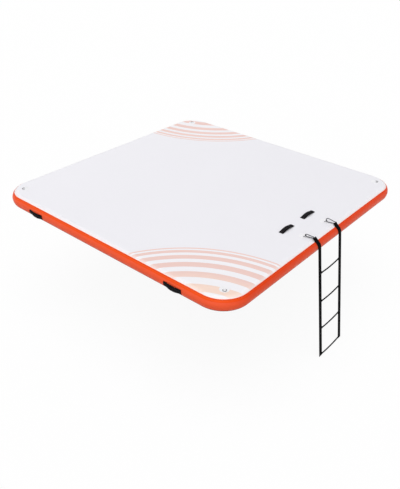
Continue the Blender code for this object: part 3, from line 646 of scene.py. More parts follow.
def webbing_finish(name, colour, across=0.0022, along=0.0015, tones=(0.45, 1.35), depth=0.0004):
    """Woven webbing. Its coordinates are lengths along and round the strip, and its pitches too."""
    finish = Finish(name, colour, roughness=0.82, specular=0.05)
    u, v, _ = finish.parts("UV")
    chevron = finish.math("MULTIPLY", finish.math("PINGPONG", v, 0.006), 0.7)
    ribs = finish.half_wave(finish.math("ADD", u, chevron), along)
    yarns = finish.between(finish.half_wave(v, across), 0.0, 1.0, low_to=0.45)
    weave = finish.math("MULTIPLY", ribs, yarns)
    finish.tint(weave, *tones)
    finish.bump(weave, distance=depth, strength=0.8)
    return finish.material


def neoprene_finish():
    finish = Finish("black_neoprene", (0.0050, 0.0045, 0.0055), roughness=0.75, specular=0.06)
    knit = finish.noise(scale=900.0, detail=2.0, kind="UV")
    finish.tint(knit, low=0.6, high=1.6)
    finish.bump(knit, distance=0.00025, strength=0.6)
    return finish.material


def thread_finish(name, colour):
    finish = Finish(name, colour, roughness=0.6, specular=0.3)
    finish.tint(finish.noise(scale=2200.0, detail=2.0), low=0.8, high=1.2)
    finish.bump(finish.noise(scale=3000.0, detail=1.0), distance=0.0001, strength=0.5)
    return finish.material


def core_finish():
    finish = Finish("polyester_cloth", (0.72, 0.72, 0.69), roughness=0.85, specular=0.2)
    weave = finish.emboss(pitch=0.0012)
    finish.tint(weave, low=0.8, high=1.08)
    finish.bump(weave, distance=0.0003, strength=0.7)
    return finish.material


def steel_finish():
    finish = Finish("polished_steel", (0.10, 0.10, 0.108), roughness=0.2, metallic=1.0)
    finish.tint(finish.noise(scale=400.0), low=0.88, high=1.08)
    finish.vary_roughness(scale=1100.0, low=0.14, high=0.3)
    finish.bump(finish.noise(scale=1800.0, detail=2.0), distance=0.00003, strength=0.4)
    return finish.material


def spring_finish():
    finish = Finish("spring_wire", (0.5, 0.5, 0.52), roughness=0.28, metallic=1.0)
    finish.tint(finish.noise(scale=900.0, detail=2.0), low=0.85, high=1.1)
    return finish.material


def plastic_finish():
    finish = Finish("moulded_plastic", (0.145, 0.145, 0.155), roughness=0.45)
    finish.tint(finish.noise(scale=220.0), low=0.9, high=1.1)
    finish.vary_roughness(scale=300.0, low=0.38, high=0.54)
    finish.bump(finish.noise(scale=2600.0, detail=2.0), distance=0.00006, strength=0.6)
    return finish.material


DECK_PVC = deck_finish()
BOTTOM_PVC = bottom_finish()
# The band is a lighter, pinker orange than the tapes: partly a real difference between the coatings,
# partly painted light, with painted reflection on the band and painted shade on the upper tape.
ORANGE_PVC = orange_finish("orange_pvc", (0.93, 0.110, 0.038))
ORANGE_TAPE = orange_finish("orange_tape", (0.90, 0.085, 0.010), weld_lines_and_shade=True)
PATCH_PVC = patch_finish()
BLACK_WEBBING = webbing_finish("black_webbing", (0.0030, 0.0028, 0.0032))
GREY_WEBBING = webbing_finish("grey_webbing", (0.015, 0.0135, 0.016))
WHITE_WEBBING = webbing_finish("white_webbing", (0.93, 0.93, 0.95), 0.0018, 0.0012, (0.90, 1.04), 0.00012)
NEOPRENE = neoprene_finish()
BLACK_THREAD = thread_finish("black_thread", (0.012, 0.012, 0.013))
GREY_THREAD = thread_finish("grey_thread", (0.06, 0.055, 0.06))
WHITE_THREAD = thread_finish("white_thread", (0.84, 0.84, 0.86))
CORE = core_finish()
STEEL = steel_finish()
SPRING = spring_finish()
PLASTIC = plastic_finish()


# Dock body


def edge_angle(height):
    """Where a height lies on the rounded wall, as an angle from its widest line."""
    return math.asin((height - MIDDLE) / MIDDLE)


def edge_point(angle, offset=0.0):
    """A point on or off the rounded wall: distance out past the flat deck, and height."""
    cosine, sine = math.cos(angle), math.sin(angle)
    normal = Vector((cosine / EDGE_BULGE, sine / MIDDLE)).normalized()
    return EDGE_BULGE * cosine + normal.x * offset, MIDDLE + MIDDLE * sine + normal.y * offset


def plan_stations():
    """Points round the flat deck's edge, each with its outward direction and its share of wrinkles."""
    stations = []
    centre = FLAT_HALF - FLAT_RADIUS
    corners = ((1, 1), (-1, 1), (-1, -1), (1, -1))
    for quarter, (sx, sy) in enumerate(corners):
        first = quarter * math.pi / 2
        for i, (nx, ny) in enumerate(circle(1.0, CORNER_STEPS, first, math.pi / 2)):
            base = Vector((sx * centre, sy * centre)) + Vector((nx, ny)) * FLAT_RADIUS
            weight = math.sin(math.pi * i / CORNER_STEPS) ** 2
            stations.append((base, Vector((nx, ny)), weight))
        start, normal, _ = stations[-1]
        tx, ty = corners[(quarter + 1) % 4]
        end = Vector((tx * centre, ty * centre)) + normal * FLAT_RADIUS
        for i in range(1, STRAIGHT_STEPS):
            stations.append((start.lerp(end, i / STRAIGHT_STEPS), normal, 0.0))
    return stations


STATIONS = plan_stations()


def plan_row(angle, offset, flip=False):
    """Closed loop round the dock at one place of the wall's section, with its corner wrinkles."""
    row = []
    length = 0.0
    before = STATIONS[-1][0]
    depth = math.cos(angle) ** 2
    for base, normal, weight in STATIONS:
        length += (base - before).length * CORNER_RADIUS / FLAT_RADIUS
        before = base
        wrinkle = PUCKER * weight * depth * math.sin(2 * math.pi * length / PUCKER_PITCH)
        out, height = edge_point(angle, offset + wrinkle)
        point = base + normal * out
        row.append(Vector((point.x, point.y, DECK - height if flip else height)))
    return row


def build_skin(name, flip, material):
    """A flat skin rolled over the edge down to the seam, under the tape."""
    angles = spread(math.pi / 2, edge_angle(DECK - SEAM_DROP + GAP), ROLL_STEPS)
    heights = (0.0, SKIN) if flip else (DECK, DECK - SKIN)
    flats = [[(*(base - normal * RIM_INSET), z) for base, normal, _ in STATIONS] for z in heights]
    rows = [flats[0]]
    rows += [plan_row(angle, 0.0, flip) for angle in angles]
    rows += [plan_row(angle, -SKIN, flip) for angle in reversed(angles)]
    bm = loft([*rows, flats[1]])
    place_piece(finish_mesh(f"{name}_surface", bm, material), "dock", "white_pvc", name)


def build_side_band():
    angles = spread(edge_angle(DECK - SEAM_DROP), edge_angle(SEAM_DROP), BAND_STEPS)
    rows = [plan_row(angle, 0.0) for angle in angles]
    rows += [plan_row(angle, -SKIN) for angle in reversed(angles)]
    piece = finish_mesh("side_band_surface", loft(rows, closed=True), ORANGE_PVC)
    place = Matrix.Translation(joint_place("valve_cap_turn"))
    hole = cylinder(VALVE_BARREL + GAP, -SEAM_DROP, SEAM_DROP, EYE_SIDES, place)
    boolean(piece, hole, "DIFFERENCE")
    place_piece(piece, "dock", "orange_pvc", "side_band")


def build_tape(node, top):
    """Welded tape over a seam. Its edges are pressed thin."""
    low = top - TAPE_HEIGHT
    heights = [top, *spread(top - TAPE_EDGE, low + TAPE_EDGE, TAPE_STEPS), low]
    rows = []
    for height in heights:
        thin = TAPE_THIN if height in (top, low) else 1.0
        rows.append(plan_row(edge_angle(height), GAP + TAPE * thin))
    rows += [plan_row(edge_angle(height), GAP) for height in reversed(heights)]
    piece = finish_mesh(f"{node}_surface", loft(rows, closed=True), ORANGE_TAPE)
    place_piece(piece, "dock", "orange_tape", node)


def build_dock():
    build_skin("deck_skin", False, DECK_PVC)
    build_skin("bottom_skin", True, BOTTOM_PVC)
    build_side_band()
    build_tape("upper_seam_tape", DECK - TAPE_DROP)
    build_tape("lower_seam_tape", TAPE_DROP + TAPE_HEIGHT)
    frame["nodes"]["drop_stitch_core"].data.materials[0] = CORE


# Stitches


def add_stitch(bm, start, end, normal):
    """One thread that dips into the cloth at both ends."""
    middle = (start + end) / 2
    length = (end - start).length
    along = (end - start).normalized()
    across = along.cross(normal)
    sections = []
    for share in STITCH_SHARES:
        rise = STITCH_RADIUS * (1 - share * share) - STITCH_RADIUS * STITCH_SINK
        thick = STITCH_RADIUS * (1.0 - STITCH_TAPER * share * share)
        centre = middle + along * (share * length / 2) + normal * rise
        rim = circle(1.0, STITCH_SIDES)
        sections.append([centre + across * px * thick + normal * pz * thick for px, pz in rim])
    loft(sections, material=1, bm=bm)


def stitch_line(bm, surface, start, end, pitch=STITCH_PITCH):
    """Stitches between two places of a surface. surface turns a place into a point and a normal."""
    start, end = Vector(start), Vector(end)
    count = max(1, round((end - start).length / pitch))
    for i in range(count):
        first, normal = surface(start.lerp(end, (i + 0.5 - STITCH_REACH) / count))
        second, _ = surface(start.lerp(end, (i + 0.5 + STITCH_REACH) / count))
        add_stitch(bm, first, second, normal)


def box_stitch(bm, surface, low, high, pitch=STITCH_PITCH):
    """Sewn box with its two diagonals."""
    a, b = low, (high[0], low[1])
    c, d = high, (low[0], high[1])
    for start, end in ((a, b), (b, c), (c, d), (d, a), (a, c), (b, d)):
        stitch_line(bm, surface, start, end, pitch)


def flat_surface(place, height):
    """Stitches' surface for a level face at a height in place's own axes."""

    def surface(spot):
        return place @ Vector((spot.x, spot.y, height)), place.to_3x3() @ UP

    return surface


# Rings and their patches


def ring_frame(joint, lift):
    """Ring's own axes: X along the bar, Y towards the bow, from the joint's place and axis."""
    x = joint_axis(joint)
    y = UP.cross(x).normalized() * math.cos(lift) + UP * math.sin(lift)
    basis = Matrix((x, y, x.cross(y))).transposed().to_4x4()
    return Matrix.Translation(joint_place(joint)) @ basis


def build_ring(name, joint, bow_height):
    lift = math.asin((bow_height - joint_place(joint).z) / RING_DEPTH)
    place = ring_frame(joint, lift)
    leg = RING_DEPTH - RING_HALF
    path = []
    for side, first in ((1, -math.pi / 2), (-1, math.pi)):
        for px, py in circle(RING_BEND, SHORT_BEND_STEPS, first, math.pi / 2):
            path.append(Vector((side * (RING_HALF - RING_BEND) + px, RING_BEND + py, 0.0)))
        if side == 1:
            path += [Vector((px, leg + py, 0.0)) for px, py in circle(RING_HALF, BOW_STEPS, 0.0, math.pi)]
    path = [place @ point for point in path]
    bm = sweep_flat(path, place.to_3x3() @ UP, RING_WIRE, THIN_SIDES, closed=True)
    place_piece(finish_mesh(f"{name}_ring", bm, STEEL), name, "steel", name)


def build_patch(name, joint):
    """Welded round patch with a pressed rim, and the sewn webbing loop that holds the ring's bar."""
    place = ring_frame(joint, 0.0)
    low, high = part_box(name)
    radius = (high.x - low.x) / 2
    base = low.z - joint_place(joint).z
    top = base + PATCH
    inner = radius - PATCH_RIM
    centre = place @ Matrix.Translation((0.0, -PATCH_BACK, 0.0)) @ Matrix.Rotation(math.pi / 2, 4, "X")
    outline = [(radius, base), (radius, top - PATCH * 0.5), (radius - PATCH_RIM * 0.2, top - PATCH * 0.2)]
    outline += [(inner, top - PATCH * 0.25), (radius - PATCH_RIM * 1.3, top), (radius * 0.1, top)]
    bm = turned(rounded_outline(outline, PATCH / 2), DISC_SIDES, centre)
    place_piece(finish_mesh(f"{name}_disc", bm, PATCH_PVC), "dock", "patch_pvc", name)
    build_keeper(name, place, top)


def build_keeper(name, place, top):
    """Webbing folded round the bar, with both layers sewn down behind it."""
    lower = top + WEBBING_LAYER / 2
    upper = lower + WEBBING_LAYER
    nose = circle(RING_WIRE + GAP + WEBBING_LAYER / 2, LOOP_STEPS, *KEEPER_LOOP)
    spots = [(-KEEPER_LENGTH, upper), (-KEEPER_BEND, upper), *nose]
    spots += [(-KEEPER_BEND, lower), (-KEEPER_LENGTH * 0.98, lower)]
    path = [Vector((0.0, y, z)) for y, z in spots]
    sections = []
    for before, point, after in zip([path[0], *path], path, [*path[1:], path[-1]]):
        normal = ACROSS.cross((after - before).normalized())
        sections.append(strip_section(point, normal, KEEPER_WIDTH / 2, WEBBING_LAYER / 2))
    bm = loft([[place @ point for point in section] for section in sections])
    side, tail, bend = KEEPER_SEWN
    reach = KEEPER_WIDTH / 2 - side
    box = ((-reach, -KEEPER_LENGTH + tail), (reach, -KEEPER_BEND - bend))
    box_stitch(bm, flat_surface(place, upper + WEBBING_LAYER / 2), *box, KEEPER_PITCH)
    place_piece(finish_mesh(f"{name}_keeper", bm, WHITE_WEBBING, WHITE_THREAD), "dock", "patch_pvc")


def build_rings():
    for side in ("left", "right"):
        for end in ("front", "back"):
            name = f"dring_{end}_{side}"
            build_ring(name, f"{name}_flip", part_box(name)[0].z + RING_WIRE)
            build_patch(f"dring_patch_{end}_{side}", f"{name}_flip")
        name = f"dring_ladder_{side}"
        build_ring(name, f"{name}_lift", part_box(name)[1].z - RING_WIRE)
        build_patch(f"dring_patch_ladder_{side}", f"{name}_lift")


# Handles


def handle_lift(along):
    """The arch of a handle: level in the middle, flat at both ends."""
    slope = (HANDLE_FREE - HANDLE_CREST) / 2
    return HANDLE_RISE * smooth((HANDLE_FREE / 2 - abs(along)) / slope)


def handle_surface(name):
    """Handle coordinates from the pad's own box, and the pad's length."""
    low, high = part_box(f"{name}_pad")
    middle = (low + high) / 2
    if name.startswith("deck"):

        def at(along, across, lift):
            return Vector((middle.x + along, middle.y + across, DECK + lift))

        return at, high.x - low.x
    side = math.copysign(1, middle.x)

    def at(along, across, lift):
        outward, z = edge_point(edge_angle(SIDE_HANDLE_HEIGHT + across), lift)
        return Vector((side * (FLAT_HALF + outward), middle.y + along, z))

    return at, high.y - low.y


def arched_surface(at, base, thickness):
    """Stitches' surface for the top face of a layer that follows a handle's arch."""

    def surface(spot):
        along, across = spot
        lift = base + handle_lift(along) + thickness
        point = at(along, across, lift)
        return point, (at(along, across, lift + PAD) - point).normalized()

    return surface


def pad_section(at, along, low, thickness):
    """Section of a soft pad: full in the middle, pinched at both long edges and under the stitching."""
    under, over = [], []
    for share in spread(-1.0, 1.0, PAD_STEPS + 1):
        height = thickness * (0.5 + 0.5 * (1 - abs(share) ** 6) ** 0.5)
        across = share * HANDLE_WIDTH / 2
        middle = low + thickness / 2
        under.append(at(along, across, max(middle - height / 2, low)))
        over.append(at(along, across, middle + height / 2))
    return under + over[::-1]


def build_grip(name, at, length):
    """Soft pad, its two bonded ends under it, and a seam along both edges."""
    base = GAP + ANCHOR
    sections = []
    for along in spread(-length / 2, length / 2, HANDLE_ROWS):
        end = smooth((length / 2 - abs(along)) / PAD_PINCH_LENGTH)
        thickness = PAD * (1 - PAD_PINCH + PAD_PINCH * end)
        sections.append(pad_section(at, along, base + handle_lift(along), thickness))
    bm = loft(sections)
    reach = HANDLE_WIDTH / 2 - ANCHOR_MARGIN
    for side in (-1, 1):
        outer = side * (length / 2 - ANCHOR_MARGIN)
        rows = []
        for along in spread(outer - side * ANCHOR_LENGTH, outer, ANCHOR_ROWS):
            row = [at(along, u, GAP) for u in spread(-reach, reach, WEBBING_STEPS)]
            row += [at(along, u, base + PAD / 2) for u in spread(reach, -reach, WEBBING_STEPS)]
            rows.append(row)
        loft(rows, bm=bm)
    edge = HANDLE_WIDTH / 2 - PAD_SEAM
    end = length / 2 - PAD_PINCH_LENGTH
    for side in (-1, 1):
        stitch_line(bm, arched_surface(at, base, PAD), (-end, side * edge), (end, side * edge))
    pad = finish_mesh(f"{name}_grip", bm, NEOPRENE, BLACK_THREAD)
    place_piece(pad, "dock", "black_neoprene", f"{name}_pad")


def build_grip_webbing(name, at, length):
    """Webbing sewn along the pad, with a box stitch at each end."""
    base = GAP + ANCHOR + PAD + GAP
    low, high = (GRIP_HALF - corner for corner in GRIP_CORNER)
    sections = []
    for along in spread(-length / 2, length / 2, HANDLE_ROWS):
        lift = base + handle_lift(along)
        section = [at(along, u, lift) for u in spread(-low, low, WEBBING_STEPS)]
        section += [at(along, GRIP_HALF, lift + GRIP_WEBBING * share) for share in (0.3, 0.7)]
        section += [at(along, u, lift + GRIP_WEBBING) for u in spread(high, -high, WEBBING_STEPS)]
        section += [at(along, -GRIP_HALF, lift + GRIP_WEBBING * share) for share in (0.7, 0.3)]
        sections.append(section)
    bm = loft(sections)
    surface = arched_surface(at, base, GRIP_WEBBING)
    edge = GRIP_HALF - STITCH_MARGIN * 0.7
    end = length / 2 - GRIP_BOX - GRIP_SEAM_GAP
    for side in (-1, 1):
        stitch_line(bm, surface, (-end, side * edge), (end, side * edge))
        box = length / 2 - GRIP_BOX_INSET
        near, far = sorted((side * box, side * (box - GRIP_BOX)))
        box_stitch(bm, surface, (near, -edge), (far, edge))
    strap = finish_mesh(f"{name}_strap", bm, GREY_WEBBING, GREY_THREAD)
    place_piece(strap, "dock", "grey_webbing", f"{name}_webbing")


def build_handles():
    for side in ("left", "right"):
        for name in (f"deck_handle_{side}", f"side_handle_{side}_front", f"side_handle_{side}_back"):
            at, length = handle_surface(name)
            build_grip(name, at, length)
            build_grip_webbing(name, at, length)


# Carabiners


class Hook:
    """Where one carabiner lies: its own X runs from the big bend to the small one."""

    def __init__(self, side):
        self.side = side
        roll = f"carabiner_{side}_roll"
        x = joint_axis(roll)
        y = -joint_axis(f"carabiner_{side}_gate_swing")
        centre = joint_place(roll)
        self.turn = Matrix((x, y, x.cross(y))).transposed()
        self.place = Matrix.Translation(centre) @ self.turn.to_4x4()
        pull = Vector((math.cos(STRAP_DIP), 0.0, -math.sin(STRAP_DIP)))
        self.eye = centre + self.turn @ (pull * (SMALL_BEND + EYE_PLAY))
        self.big = Vector((-BEND_DISTANCE, 0.0, BIG_BEND - SMALL_BEND))
        tilt = 2 * math.atan2(BIG_BEND - SMALL_BEND, BEND_DISTANCE)
        self.out = Vector((math.sin(tilt), 0.0, math.cos(tilt)))
        self.start = self.out * SMALL_BEND
        side_line = self.big + self.out * BIG_BEND - self.start
        self.side_length = side_line.length
        self.along = side_line.normalized()
        pivot = self.start + self.along * PIVOT_DISTANCE
        self.rivet_place = self.place @ Matrix.Translation(pivot)


def tongue(hook, start, length):
    """Flat end of the wire, rounded, lying along the gate's line."""
    sign = math.copysign(1, length)
    reach = length - sign * TONGUE_HALF
    outline = [(-sign * WIRE, -TONGUE_HALF), (-sign * WIRE, TONGUE_HALF)]
    if sign > 0:
        outline.reverse()
    tip = circle(TONGUE_HALF, TONGUE_STEPS, -sign * math.pi / 2, math.pi)
    outline += [(reach + px, pz) for px, pz in tip]
    root = hook.start + hook.along * start
    sections = []
    for y in (-TONGUE / 2, TONGUE / 2):
        section = [root + hook.along * px + hook.out * pz + Vector((0, y, 0)) for px, pz in outline]
        sections.append([hook.place @ point for point in section])
    return loft(sections)


def rivet_hole(hook, reach):
    return cylinder(RIVET + GAP, -reach, reach, THIN_SIDES, hook.rivet_place)


def build_carabiner(hook):
    tangent = math.atan2(hook.out.z, hook.out.x)
    ends = [hook.side_length - NOSE_DISTANCE * share for share in (1.0, 0.5)]
    path = [hook.start + hook.along * end for end in ends]
    big = circle(BIG_BEND, BIG_BEND_STEPS, tangent, 1.5 * math.pi - tangent)
    small = circle(SMALL_BEND, SMALL_BEND_STEPS, -math.pi / 2, tangent + math.pi / 2)
    path += [hook.big + Vector((px, 0.0, pz)) for px, pz in big]
    path += [Vector((px, 0.0, pz)) for px, pz in small]
    bm = sweep_flat([hook.place @ point for point in path], hook.turn @ ALONG, WIRE, WIRE_SIDES)
    wire = finish_mesh(f"carabiner_wire_{hook.side}", bm, STEEL)
    boolean(wire, tongue(hook, 0.0, PIVOT_DISTANCE + TONGUE_HALF), "UNION")
    boolean(wire, tongue(hook, hook.side_length - NOSE_DISTANCE, -TONGUE_REACH), "UNION")
    boolean(wire, rivet_hole(hook, TONGUE * 2), "DIFFERENCE")
    place_piece(wire, f"carabiner_{hook.side}", "steel", f"carabiner_frame_{hook.side}")


def build_gate(hook):
    basis = Matrix((hook.along, hook.out.cross(hook.along), hook.out)).transposed().to_4x4()
    place = hook.rivet_place @ basis
    length = hook.side_length - NOSE_DISTANCE - GATE_END_GAP - PIVOT_DISTANCE
    steps = (
        (-CHEEK_REACH, GATE_RADIUS - GATE_BEVEL),
        (-CHEEK_REACH + GATE_BEVEL, GATE_RADIUS),
        (length - GATE_BEVEL, GATE_RADIUS),
        (length, GATE_RADIUS - GATE_BEVEL),
    )
    rows = [(x, circle(radius, ROUND_SIDES)) for x, radius in steps]
    bm = loft([[place @ Vector((x, py, pz)) for py, pz in row] for x, row in rows])
    gate = finish_mesh(f"carabiner_bar_{hook.side}", bm, STEEL)
    half, tall = GATE_SLOT / 2, GATE_RADIUS * 2
    corners = ((-half, -tall), (half, -tall), (half, tall), (-half, tall))
    slots = (
        (-CHEEK_REACH * 2, TONGUE_HALF + GATE_END_GAP),
        (length - TONGUE_REACH - GATE_END_GAP, length + CHEEK_REACH),
    )
    for low, high in slots:
        boolean(gate, extruded(corners, low, high, place), "DIFFERENCE")
    boolean(gate, rivet_hole(hook, GATE_RADIUS * 2), "DIFFERENCE")
    place_piece(gate, f"carabiner_gate_{hook.side}", "steel", f"carabiner_gate_{hook.side}")


def build_rivet(hook):
    head = GATE_RADIUS + GAP
    outer = head + RIVET_HEAD_THICKNESS
    outline = [(RIVET_HEAD * 0.4, -outer), (RIVET_HEAD, -outer), (RIVET_HEAD, -head), (RIVET, -head)]
    outline += [(radius, -y) for radius, y in reversed(outline)]
    bm = turned(rounded_outline(outline, GAP), WIRE_SIDES, hook.rivet_place)
    rivet = finish_mesh(f"carabiner_pin_{hook.side}", bm, STEEL)
    place_piece(rivet, f"carabiner_{hook.side}", "steel", f"carabiner_rivet_{hook.side}")


# Ladder

SWING = joint_place("ladder_swing")
FOLDS = [joint_place(f"ladder_fold_{number}") for number in (1, 2, 3)]
HANG = (FOLDS[0] - SWING).normalized()
OUT = ACROSS.cross(HANG).normalized() * -1
RUNG_PITCH = (FOLDS[1] - FOLDS[0]).length
RUNG_PLACES = [*FOLDS, FOLDS[2] + HANG * RUNG_PITCH]
DOWNS = [(place - SWING).length for place in RUNG_PLACES]
HALFWAY = [DOWNS[0] / 2] + [(a + b) / 2 for a, b in zip(DOWNS, DOWNS[1:])]


def bezier(start, out, into, end, count):
    """Points on one cubic from start to end, without its two ends."""
    points = []
    for share in spread(0.0, 1.0, count + 2)[1:-1]:
        rest = 1 - share
        point = start * rest**3 + out * 3 * rest**2 * share + into * 3 * rest * share**2 + end * share**3
        points.append(point)
    return points


def top_path(hook):
    """Middle line and thickness of an upright from its sewn end to where it hangs free, at x = 0."""
    lean = math.atan2(-HANG.y, -HANG.z)
    leave = math.atan(math.tan(lean) * MIDDLE / EDGE_BULGE)
    offset = GAP + TAPE + GAP + STRAP / 2
    pull = Vector((0.0, -math.cos(STRAP_DIP), -math.sin(STRAP_DIP)))
    hold = Vector((0.0, hook.eye.y, hook.eye.z))
    tip = hold - pull * EYE_MARGIN
    fold = hold + pull * (FOLD_LENGTH / 2)
    contact = [edge_point(angle, offset) for angle in spread(STRAP_TOUCH, leave, WALL_STEPS)]
    wall = [Vector((0.0, -FLAT_HALF - out, z)) for out, z in contact]
    down = (wall[1] - wall[0]).normalized()
    handle = (wall[0] - fold).length / 3
    curve = bezier(fold, fold + pull * handle, wall[0] - down * handle, wall[0], DROP_STEPS)
    shares = [0.0, SEWN_SHARES[0], *spread(SEWN_SHARES[1], 1.0, SEWN_STEPS)]
    path = [(tip.lerp(fold, share), STRAP_END) for share in shares]
    for i, point in enumerate(curve):
        path.append((point, STRAP_END + (STRAP - STRAP_END) * smooth(i / THINNING_STEPS)))
    path += [(point, STRAP) for point in wall]
    return path


def strap_centres(side):
    """Middle and half width of an upright where it hangs."""
    low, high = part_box(f"ladder_strap_{side}_1")
    return (low.x + high.x) / 2, (high.x - low.x) / 2 + SELVEDGE


def bend_span(place, reach):
    """The stretch of an upright that bends at a joint."""
    return place - HANG * reach, place + HANG * reach


def strap_piece(name, sections, bm, span, nodes, hook=None):
    """Webbing that lies across one joint. bm holds its stitches. A hook asks for an eye."""
    piece = finish_mesh(name, loft(sections, bm=bm), BLACK_WEBBING, BLACK_THREAD)
    if hook:
        cut_eye(piece, hook)
    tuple(span[0])
    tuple(span[1])
    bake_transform(piece)
    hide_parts(*nodes)


def hanging_sections(middle_x, half, start, end):
    """Sections of a hanging upright between two distances below the swing axis."""
    sections = []
    count = max(3, round((end - start) / STRAP_STEP))
    for down in spread(start, end, count):
        point = SWING + HANG * down
        point.x = middle_x(down)
        sections.append(strip_section(point, OUT, half, STRAP / 2))
    return sections


def rung_stitches(bm, x, half, down):
    """Sewn box where a rung joins the upright, on both faces."""
    for face in (1, -1):

        def surface(spot, face=face):
            point = SWING + HANG * (down + spot.y) + OUT * face * STRAP / 2
            point.x = x + spot.x
            return point, OUT * face

        reach = half - STITCH_MARGIN
        box_stitch(bm, surface, (-reach, -GUSSET_HALF), (reach, GUSSET_HALF), RUNG_PITCH_SEWN)


def eye_place(hook):
    """The sewn end's own axes at the eye: X across, -Y down the upright, Z off its face."""
    return Matrix.Translation(hook.eye) @ Matrix.Rotation(STRAP_DIP, 4, "X")


def cut_eye(strap, hook):
    """Punched eye in the sewn end."""
    place = eye_place(hook)
    rim = circle(EYE_RADIUS, EYE_SIDES)
    reach = STRAP_END * 2
    hole = loft([[place @ Vector((px, py, z)) for px, py in rim] for z in (-reach, reach)])
    boolean(strap, hole, "DIFFERENCE")


def build_upright_top(hook):
    """The upright from its sewn end over the rail to halfway down to the first rung."""
    x, half = strap_centres(hook.side)
    path = top_path(hook)
    lengths = [0.0]
    for (before, _), (after, _) in zip(path, path[1:]):
        lengths.append(lengths[-1] + (after - before).length)
    foot = Vector((0.0, SWING.y, SWING.z))
    total = lengths[-1] + (foot - path[-1][0]).length
    flat = EYE_MARGIN + FOLD_LENGTH / 2
    near = (path[-1][0] - foot).dot(HANG)

    def slanted_x(down):
        share = smooth((lengths[-1] + down - near - flat) / (total - flat))
        return hook.eye.x + (x - hook.eye.x) * share

    sections = []
    last = len(path) - 1
    for i, (point, thickness) in enumerate(path):
        tangent = (path[min(i + 1, last)][0] - path[max(i - 1, 0)][0]).normalized()
        normal = Vector((0.0, -tangent.z, tangent.y))
        middle = Vector((slanted_x(lengths[i] - lengths[-1] + near), point.y, point.z))
        sections.append(strip_section(middle, normal, half, thickness / 2))
    sections += hanging_sections(slanted_x, half, near + STRAP_STEP / 2, HALFWAY[0])
    bm = bmesh.new()
    surface = flat_surface(eye_place(hook), STRAP_END / 2)
    reach = half - STITCH_MARGIN
    tip, end = EYE_MARGIN - TIP_MARGIN, -FOLD_LENGTH / 2
    for y in (tip, end):
        stitch_line(bm, surface, (-reach, y), (reach, y))
    for edge in (-reach, reach):
        stitch_line(bm, surface, (edge, tip), (edge, end))
    name = f"ladder_webbing_{hook.side}_top"
    nodes = [f"ladder_top_strap_{hook.side}"]
    span = bend_span(SWING, SWING_BEND)
    strap_piece(name, sections, bm, span, nodes, hook)


def build_upright(side):
    """The three hanging stretches of an upright, each sewn to a rung. The last carries two rungs."""
    x, half = strap_centres(side)
    for k, start, end in zip((1, 2, 3), HALFWAY, [HALFWAY[1], HALFWAY[2], DOWNS[3] + LADDER_FOOT]):
        rungs = (3, 4) if k == 3 else (k,)
        bm = bmesh.new()
        for rung in rungs:
            rung_stitches(bm, x, half, DOWNS[rung - 1])
        name = f"ladder_webbing_{side}_{k}"
        sections = hanging_sections(lambda down: x, half, start, end)
        nodes = [f"ladder_strap_{side}_{rung}" for rung in rungs]
        strap_piece(name, sections, bm, bend_span(FOLDS[k - 1], RUNG_BEND), nodes)


def build_rung(number):
    """Slim woven rung that bows down, flattened at both ends where it is sewn in."""
    left, half = strap_centres("left")
    right, _ = strap_centres("right")
    middle = (left + right) / 2
    reach = (right - left) / 2 - half - GAP
    inner = reach - GUSSET_LENGTH
    place = RUNG_PLACES[number - 1]
    sections = []
    for x in spread(-reach, reach, RUNG_ROWS):
        share = smooth((abs(x) - inner) / GUSSET_LENGTH)
        tall = RUNG_RADIUS + (GUSSET_HALF - RUNG_RADIUS) * share
        deep = RUNG_RADIUS + (STRAP / 2 - RUNG_RADIUS) * share
        sag = RUNG_SAG * (1 - (x / reach) ** 2)
        section = []
        for py, pz in circle(1.0, ROUND_SIDES):
            point = place + HANG * (sag - pz * tall) + OUT * py * deep
            point.x = middle + x
            section.append(point)
        sections.append(section)
    rung = finish_mesh(f"ladder_step_{number}", loft(sections), BLACK_WEBBING)
    place_piece(rung, f"ladder_link_{number}", "black_webbing", f"ladder_rung_{number}")


def build_ladder():
    for side in ("left", "right"):
        hook = Hook(side)
        build_carabiner(hook)
        build_gate(hook)
        build_rivet(hook)
        build_upright_top(hook)
        build_upright(side)
    for number in (1, 2, 3, 4):
        build_rung(number)


# Valve


def wall_block(place):
    """Everything on the dock's side of the wall near the valve."""
    outline = []
    steep = math.radians(65)
    for angle in spread(steep, -steep, BLOCK_STEPS):
        outward, z = edge_point(angle, GAP)
        outline.append((outward - EDGE_BULGE, z - MIDDLE))
    outline += [(-EDGE_BULGE, outline[-1][1]), (-EDGE_BULGE, outline[0][1])]
    reach = VALVE_FLANGE * 1.5
    return extruded(outline, -reach, reach, place)


